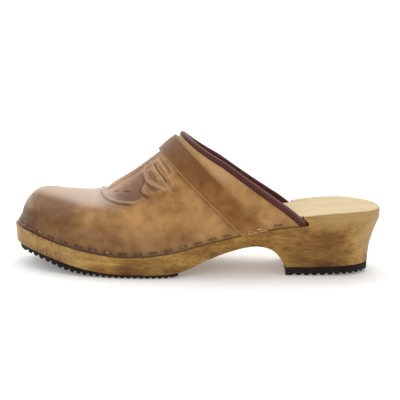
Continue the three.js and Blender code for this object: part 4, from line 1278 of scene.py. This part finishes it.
# The visible strip: its gauge and how far it rolls over the edge in mm, share of the solid's reach,
# and its gap to the leather
BAND_GAUGE, BAND_ROLL, BAND_REACH, BAND_GAP = 1.05, 1.3, 0.78, 0.06
# Its outer leg from the cut edge up, with a shallow groove for the stitches: offset from the face,
# share of the reach, rise over the edge, and whether it is a cut edge
OUTER_LEG = (
    (-0.4, 1.0, -0.1, 1.0), (-0.1, 0.97, 0.0, 0.8), (0.0, 0.88, 0.0, 0.2), (-0.05, 0.76, 0.0, 0.0),
    (-0.3, 0.68, 0.0, 0.0), (-0.05, 0.6, 0.0, 0.0), (0.1, 0.45, 0.0, 0.0), (0.05, 0.22, 0.0, 0.0),
)
STITCH_SHARE, THREAD_DEPTH = 0.68, 0.22


def binding_profile():
    """The strip's section: offset from the leather's outer face, share of the reach, rise over the edge,
    and whether it is a cut edge."""
    face, inner_face = BAND_GAP + BAND_GAUGE, -LEATHER_WALL - BAND_GAP - BAND_GAUGE
    rows = [(BAND_GAP, 1.0, 0.0, 1.0)] + [(face + out, *rest) for out, *rest in OUTER_LEG]
    middle, reach_out = (face + inner_face) / 2, (face - inner_face) / 2
    for turn in np.linspace(0, math.pi, 15):
        rows.append((middle + reach_out * math.cos(turn), 0.0, BAND_ROLL * math.sin(turn), 0.0))
    back = -LEATHER_WALL - BAND_GAP
    rows += [(inner_face, 0.3, 0, 0), (inner_face, 0.6, 0, 0), (inner_face + 0.05, 0.93, 0, 0.5)]
    rows += [(inner_face + 0.4, 1.0, 0, 1), (back, 1.0, 0, 1), (back, 0.5, 0, 0)]
    rows += [(back, 0.0, BAND_GAP, 0), (BAND_GAP, 0.0, BAND_GAP, 0), (BAND_GAP, 0.5, 0, 0)]
    return np.array(rows)


def build_binding():
    way = np.linspace(-1, 1, 321)
    reach = THROAT_BINDING_WIDTH + (BINDING_WIDTH - THROAT_BINDING_WIDTH) * np.abs(way)
    reach = reach * BAND_REACH
    edge, normal = collar_edge(way, 0.0)
    low, _ = collar_edge(way, reach)
    down = low - edge
    down = unit(down - normal * (down * normal).sum(1)[:, None])
    rings, marks = [], []
    for out, share, rise, cut in binding_profile():
        place, own = collar_edge(way, reach * share) if share else (edge, normal)
        rings.append(place + own * out - down * rise)
        marks.append(np.full(len(way), cut))
    rings, marks = np.stack(rings, 1), np.stack(marks, 1)
    piece = Piece()
    frayed_and_shaded = np.maximum(marks * 0.35, 0.8 * band(np.abs(way), 0.985, 1.0)[:, None])
    rows = np.arange(rings.shape[1])
    # painted highlight along the top of the roll, and painted shade low on the outer leg
    light = band(rows, 7, 10) * band(rows, 15, 12)
    lower_leg_shade = 0.55 * band(rows, 7, 3) * band(rows, 0, 2)
    frayed_and_shaded = np.maximum(frayed_and_shaded, lower_leg_shade[None])
    piece.grid(rings, wrap=True, burnish=frayed_and_shaded, rub=0.25 * light[None] * np.ones_like(marks))
    for end in (0, -1):
        piece.polygons(rings[end][None], burnish=0.8)

    # the thread runs in the groove, pulled in below the face
    place, own = collar_edge(way, reach * STITCH_SHARE)
    return piece, place + own * (BAND_GAUGE - THREAD_DEPTH), own


# Geometry Nodes: staples and stitches


VECTOR = {"data_type": "FLOAT_VECTOR"}


def new_tree(name, sizes):
    """A geometry tree with a geometry input, named sizes and a whole-number seed."""
    tree = bpy.data.node_groups.new(name, "GeometryNodeTree")
    inputs = {"Geometry": "Geometry"} | {label: "Float" for label in sizes}
    for label, kind in (inputs | {"Seed": "Int", "Material": "Material"}).items():
        tree.interface.new_socket(label, in_out="INPUT", socket_type="NodeSocket" + kind)
    tree.interface.new_socket("Geometry", in_out="OUTPUT", socket_type="NodeSocketGeometry")
    return tree, add(tree, "NodeGroupInput").outputs


def place_copies(tree, points, copy, along, sizes):
    """Copies on points, with X along the row and Z away from the surface, each a little askew."""
    out = add(tree, "GeometryNodeInputNamedAttribute", VECTOR, {"Name": "out"})
    upright = add(tree, "FunctionNodeAlignRotationToVector", {"axis": "Z"}, {"Vector": out})
    facing, about = {"Rotation": upright, "Vector": along}, {"axis": "X", "pivot_axis": "Z"}
    facing = add(tree, "FunctionNodeAlignRotationToVector", about, facing)
    other_way = add(tree, "ShaderNodeMath", {"operation": "MULTIPLY"}, {0: sizes["Askew"], 1: -1.0})
    askew = {"Seed": sizes["Seed"], "Min": other_way, "Max": sizes["Askew"]}
    askew = add(tree, "FunctionNodeRandomValue", {"data_type": "FLOAT"}, askew)
    spin = add(tree, "ShaderNodeCombineXYZ", None, {"Z": askew})
    spin = add(tree, "FunctionNodeEulerToRotation", None, {"Euler": spin})
    turned = {"Rotation": facing, "Rotate By": spin}
    turned = add(tree, "FunctionNodeRotateRotation", {"rotation_space": "LOCAL"}, turned)
    copies = {"Points": points, "Instance": copy, "Rotation": turned}
    copies = add(tree, "GeometryNodeInstanceOnPoints", None, copies)
    solid = add(tree, "GeometryNodeRealizeInstances", None, {"Geometry": copies})
    smooth = add(tree, "GeometryNodeSetShadeSmooth", None, {"Geometry": solid})
    final = {"Geometry": smooth, "Material": sizes["Material"]}
    final = add(tree, "GeometryNodeSetMaterial", None, final)
    add(tree, "NodeGroupOutput", None, {"Geometry": final})


def bent_wire(tree, sizes, length, width, thickness, steps, sides, power):
    """A short wire along X whose two ends dive down, with an oval section."""
    values = {"half": ("MULTIPLY", length, 0.5), "back": ("MULTIPLY", length, -0.5)}
    values |= {"thin": ("MULTIPLY", thickness, 0.5), "wide": ("MULTIPLY", width, 0.5)}
    values["down"] = ("MULTIPLY", sizes["Dive"], -1.0)
    values["along"] = ("MULTIPLY_ADD", add(tree, "GeometryNodeSplineParameter"), 2.0, -1.0)
    values |= {"away": ("ABSOLUTE", "along"), "late": ("POWER", "away", power)}
    values["fall"] = ("MULTIPLY", "late", "down")
    nodes = {}
    for label, (operation, *parts) in values.items():
        parts = {k: nodes.get(part, part) for k, part in enumerate(parts)}
        nodes[label] = add(tree, "ShaderNodeMath", {"operation": operation}, parts)
    start = add(tree, "ShaderNodeCombineXYZ", None, {"X": nodes["back"]})
    end = add(tree, "ShaderNodeCombineXYZ", None, {"X": nodes["half"]})
    line = add(tree, "GeometryNodeCurvePrimitiveLine", None, {"Start": start, "End": end})
    fine = add(tree, "GeometryNodeResampleCurve", None, {"Curve": line, "Count": steps})
    shift = add(tree, "ShaderNodeCombineXYZ", None, {"Z": nodes["fall"]})
    bent = add(tree, "GeometryNodeSetPosition", None, {"Geometry": fine, "Offset": shift})
    level = add(tree, "GeometryNodeSetCurveNormal", {"mode": "MINIMUM_TWIST"}, {"Curve": bent})
    ring = {"Resolution": sides, "Radius": 1.0}
    ring = add(tree, "GeometryNodeCurvePrimitiveCircle", {"mode": "RADIUS"}, ring)
    oval = {"X": nodes["thin"], "Y": nodes["wide"], "Z": 1.0}
    oval = add(tree, "ShaderNodeCombineXYZ", None, oval)
    flat = add(tree, "GeometryNodeTransform", None, {"Geometry": ring, "Scale": oval})
    swept = {"Curve": level, "Profile Curve": flat, "Fill Caps": True}
    return add(tree, "GeometryNodeCurveToMesh", None, swept)


def staple_tree():
    tree, sizes = new_tree("staples on points", ("Crown", "Dive", "Width", "Thickness", "Askew"))
    section = (sizes["Width"], sizes["Thickness"])
    wire = bent_wire(tree, sizes, sizes["Crown"], *section, steps=19, sides=10, power=3.5)
    along = add(tree, "GeometryNodeInputNamedAttribute", VECTOR, {"Name": "along"})
    place_copies(tree, sizes["Geometry"], wire, along, sizes)
    return tree


def stitch_tree():
    tree, sizes = new_tree("stitches along a line", ("Pitch", "Length", "Dive", "Thickness", "Askew"))
    line = add(tree, "GeometryNodeMeshToCurve", None, {"Mesh": sizes["Geometry"]})
    spaced = {"Curve": line, "Length": sizes["Pitch"]}
    spaced = add(tree, "GeometryNodeResampleCurve", {"mode": "LENGTH"}, spaced)
    points = add(tree, "GeometryNodeCurveToPoints", {"mode": "EVALUATED"}, {"Curve": spaced})
    thick = sizes["Thickness"]
    stitch = bent_wire(tree, sizes, sizes["Length"], thick, thick, steps=9, sides=8, power=3.0)
    place_copies(tree, points, stitch, points.outputs["Tangent"], sizes)
    return tree


def grow(name, tree, points, edges, marks, sizes, seed, look):
    """A plain mesh from a geometry tree that runs on points with their marks."""
    mesh = bpy.data.meshes.new(name)
    mesh.from_pydata((points * MM).tolist(), edges, [])
    for label, values in marks.items():
        kind, field = ("FLOAT_VECTOR", "vector") if values.ndim == 2 else ("FLOAT", "value")
        attribute = mesh.attributes.new(label, kind, "POINT")
        attribute.data.foreach_set(field, values.astype(np.float32).ravel())
    grown = place_in_scene(name, mesh)
    modifier = grown.modifiers.new("make", "NODES")
    modifier.node_group = tree
    items = tree.interface.items_tree
    inputs = {item.name: item.identifier for item in items if item.in_out == "INPUT"}
    for label, value in sizes.items():
        modifier[inputs[label]] = value * MM
    modifier[inputs["Seed"]] = seed
    modifier[inputs["Material"]] = look
    ready = grown.evaluated_get(bpy.context.evaluated_depsgraph_get())
    made = bpy.data.meshes.new_from_object(ready)
    grown.modifiers.remove(modifier)
    grown.data = made
    return grown


# Wire on the strap and along the sole: height of its middle over the leather in mm, brightness
STRAP_WIRE, SOLE_WIRE = (0.3, 1.0), (-0.5, 0.15)


def staple_points():
    """Middle of each staple's wire, with its directions and how bright it is."""
    station, side, offset = STAPLES.T
    middle = leather_point(station, side, STAPLE_WAY)
    out = leather_normal(station, side, STAPLE_WAY)
    low = np.maximum(station - STAPLE_STEP, 0)
    ahead = leather_point(station + STAPLE_STEP, side, STAPLE_WAY)
    along = unit(ahead - leather_point(low, side, STAPLE_WAY))
    raised, bright = np.where(offset > 0, *(np.array(wire)[:, None] for wire in (STRAP_WIRE, SOLE_WIRE)))
    # a few along the sole are still bright
    bright = bright + 0.5 * (np.arange(len(offset)) % 5 == 3) * (offset == 0)
    return middle + out * (offset + raised)[:, None], {"along": along, "out": out, "bright": bright}


# Pieces: how it is built, name, look, angle from which an edge is sharp, slot, CAD node
PIECES = (
    (build_upper, "leather_upper", upper_leather, 40, "leather_upper", "upper"),
    (build_wood_sole, "alder_sole", wood, 35, "wood", "wood_sole"),
    (build_front_tread, "front_tread", rubber, 50, "rubber", "tread_front"),
    (build_heel_tread, "heel_tread", rubber, 50, "rubber", "tread_heel"),
    (build_strap, "strap_leather", strap_leather, 60, "leather_strap", "instep_strap"),
)
for build, name, look, sharp, slot, node in PIECES:
    settle(build().object(name, look, sharp), slot, node)

binding, thread_path, thread_out = build_binding()
binding = binding.object("collar_band", binding_leather, 60)
settle(binding, "leather_binding", "collar_binding")

# Stitches and staple wire, in millimetres, and how far each may turn askew, in radians
STITCH = {"Pitch": 2.6, "Length": 2.2, "Dive": 0.5, "Thickness": 0.5, "Askew": 0.05 / MM}
WIRE = {"Crown": 4.4, "Dive": 1.6, "Width": 0.9, "Thickness": 0.6, "Askew": 0.1 / MM}

row = [(k, k + 1) for k in range(len(thread_path) - 1)]
out = {"out": thread_out}
stitches = grow("collar_stitches", stitch_tree(), thread_path, row, out, STITCH, 4, thread)
settle(stitches, "leather_binding")

places, wire_marks = staple_points()
staples = grow("wire_staples", staple_tree(), places, [], wire_marks, WIRE, 7, staple_steel)
settle(staples, "steel", *(f"staple_{k:02d}" for k in range(1, len(STAPLES) + 1)))


# Studio: a white floor, a white surround, a wide soft light from above and a weaker panel in front


def stage_floor():
    bpy.ops.mesh.primitive_plane_add(size=60)
    floor = bpy.context.object
    floor.name, floor.location.z = "studio_floor", -0.0002
    look, tree, place = new_look("matt white paper")
    grain = add(tree, "ShaderNodeTexNoise", None, {"Vector": place, "Scale": 900, "Detail": 2})
    shades = ((0.0, "#F6F6F5"), (1.0, "#FAFAF9"))
    tone = add(tree, "ShaderNodeValToRGB", None, {"Fac": grain}, shades)
    # lit a little from below, as a table for cut-out photographs is
    lit = {"Emission Color": tone, "Emission Strength": 0.18}
    close_look(tree, lit | {"Base Color": tone, "Roughness": 0.9})
    floor.data.materials.append(look)


def light(name, kind, towards, place=(0, 0, 0), **settings):
    """A lamp at a place, which shines in a direction."""
    lamp = bpy.data.lights.new(name, kind)
    for key, value in settings.items():
        setattr(lamp, key, value)
    held = place_in_scene(name, lamp)
    held.location = place
    held.rotation_euler = Vector(towards).to_track_quat("-Z", "Y").to_euler()


# The photo's view: azimuth, elevation and roll in degrees, distance and target in metres, lens in mm
VIEW_ANGLES, VIEW_DISTANCE = (-5.0, 10.5, -2.2), 0.95
VIEW_TARGET, VIEW_LENS = (0.0006, 0, 0.0467), 120.78


def make_camera():
    azimuth, elevation, roll = (math.radians(angle) for angle in VIEW_ANGLES)
    flat = math.cos(elevation)
    back = Vector((math.sin(azimuth) * flat, -math.cos(azimuth) * flat, math.sin(elevation)))
    level = back.cross(Vector((0, 0, -1))).normalized()
    upright = back.cross(level)
    right = level * math.cos(roll) - upright * math.sin(roll)
    above = level * math.sin(roll) + upright * math.cos(roll)
    data = bpy.data.cameras.new("photo_view")
    data.lens, data.sensor_width = VIEW_LENS, 36
    data.clip_start, data.clip_end = 0.05, 20
    held = place_in_scene("photo_view", data)
    turn = Matrix((right, above, back)).transposed().to_4x4()
    held.matrix_world = Matrix.Translation(Vector(VIEW_TARGET) + back * VIEW_DISTANCE) @ turn
    bpy.context.scene.camera = held


stage_floor()
light("overhead", "SUN", (0.25, -0.7, -0.85), angle=math.radians(90), energy=1.7)
panel = {"shape": "RECTANGLE", "size": 1.0, "size_y": 0.8, "energy": 5}
light("front_fill", "AREA", (0.7, 1.6, -0.85), (-0.7, -1.6, 0.9), **panel)
make_camera()

world = bpy.data.worlds.new("white surround")
bpy.context.scene.world = world
world.use_nodes = True
surround = world.node_tree.nodes["Background"].inputs
surround["Color"].default_value, surround["Strength"].default_value = paint("#FFFFFF"), 0.7
bpy.context.scene.view_settings.view_transform = "Standard"
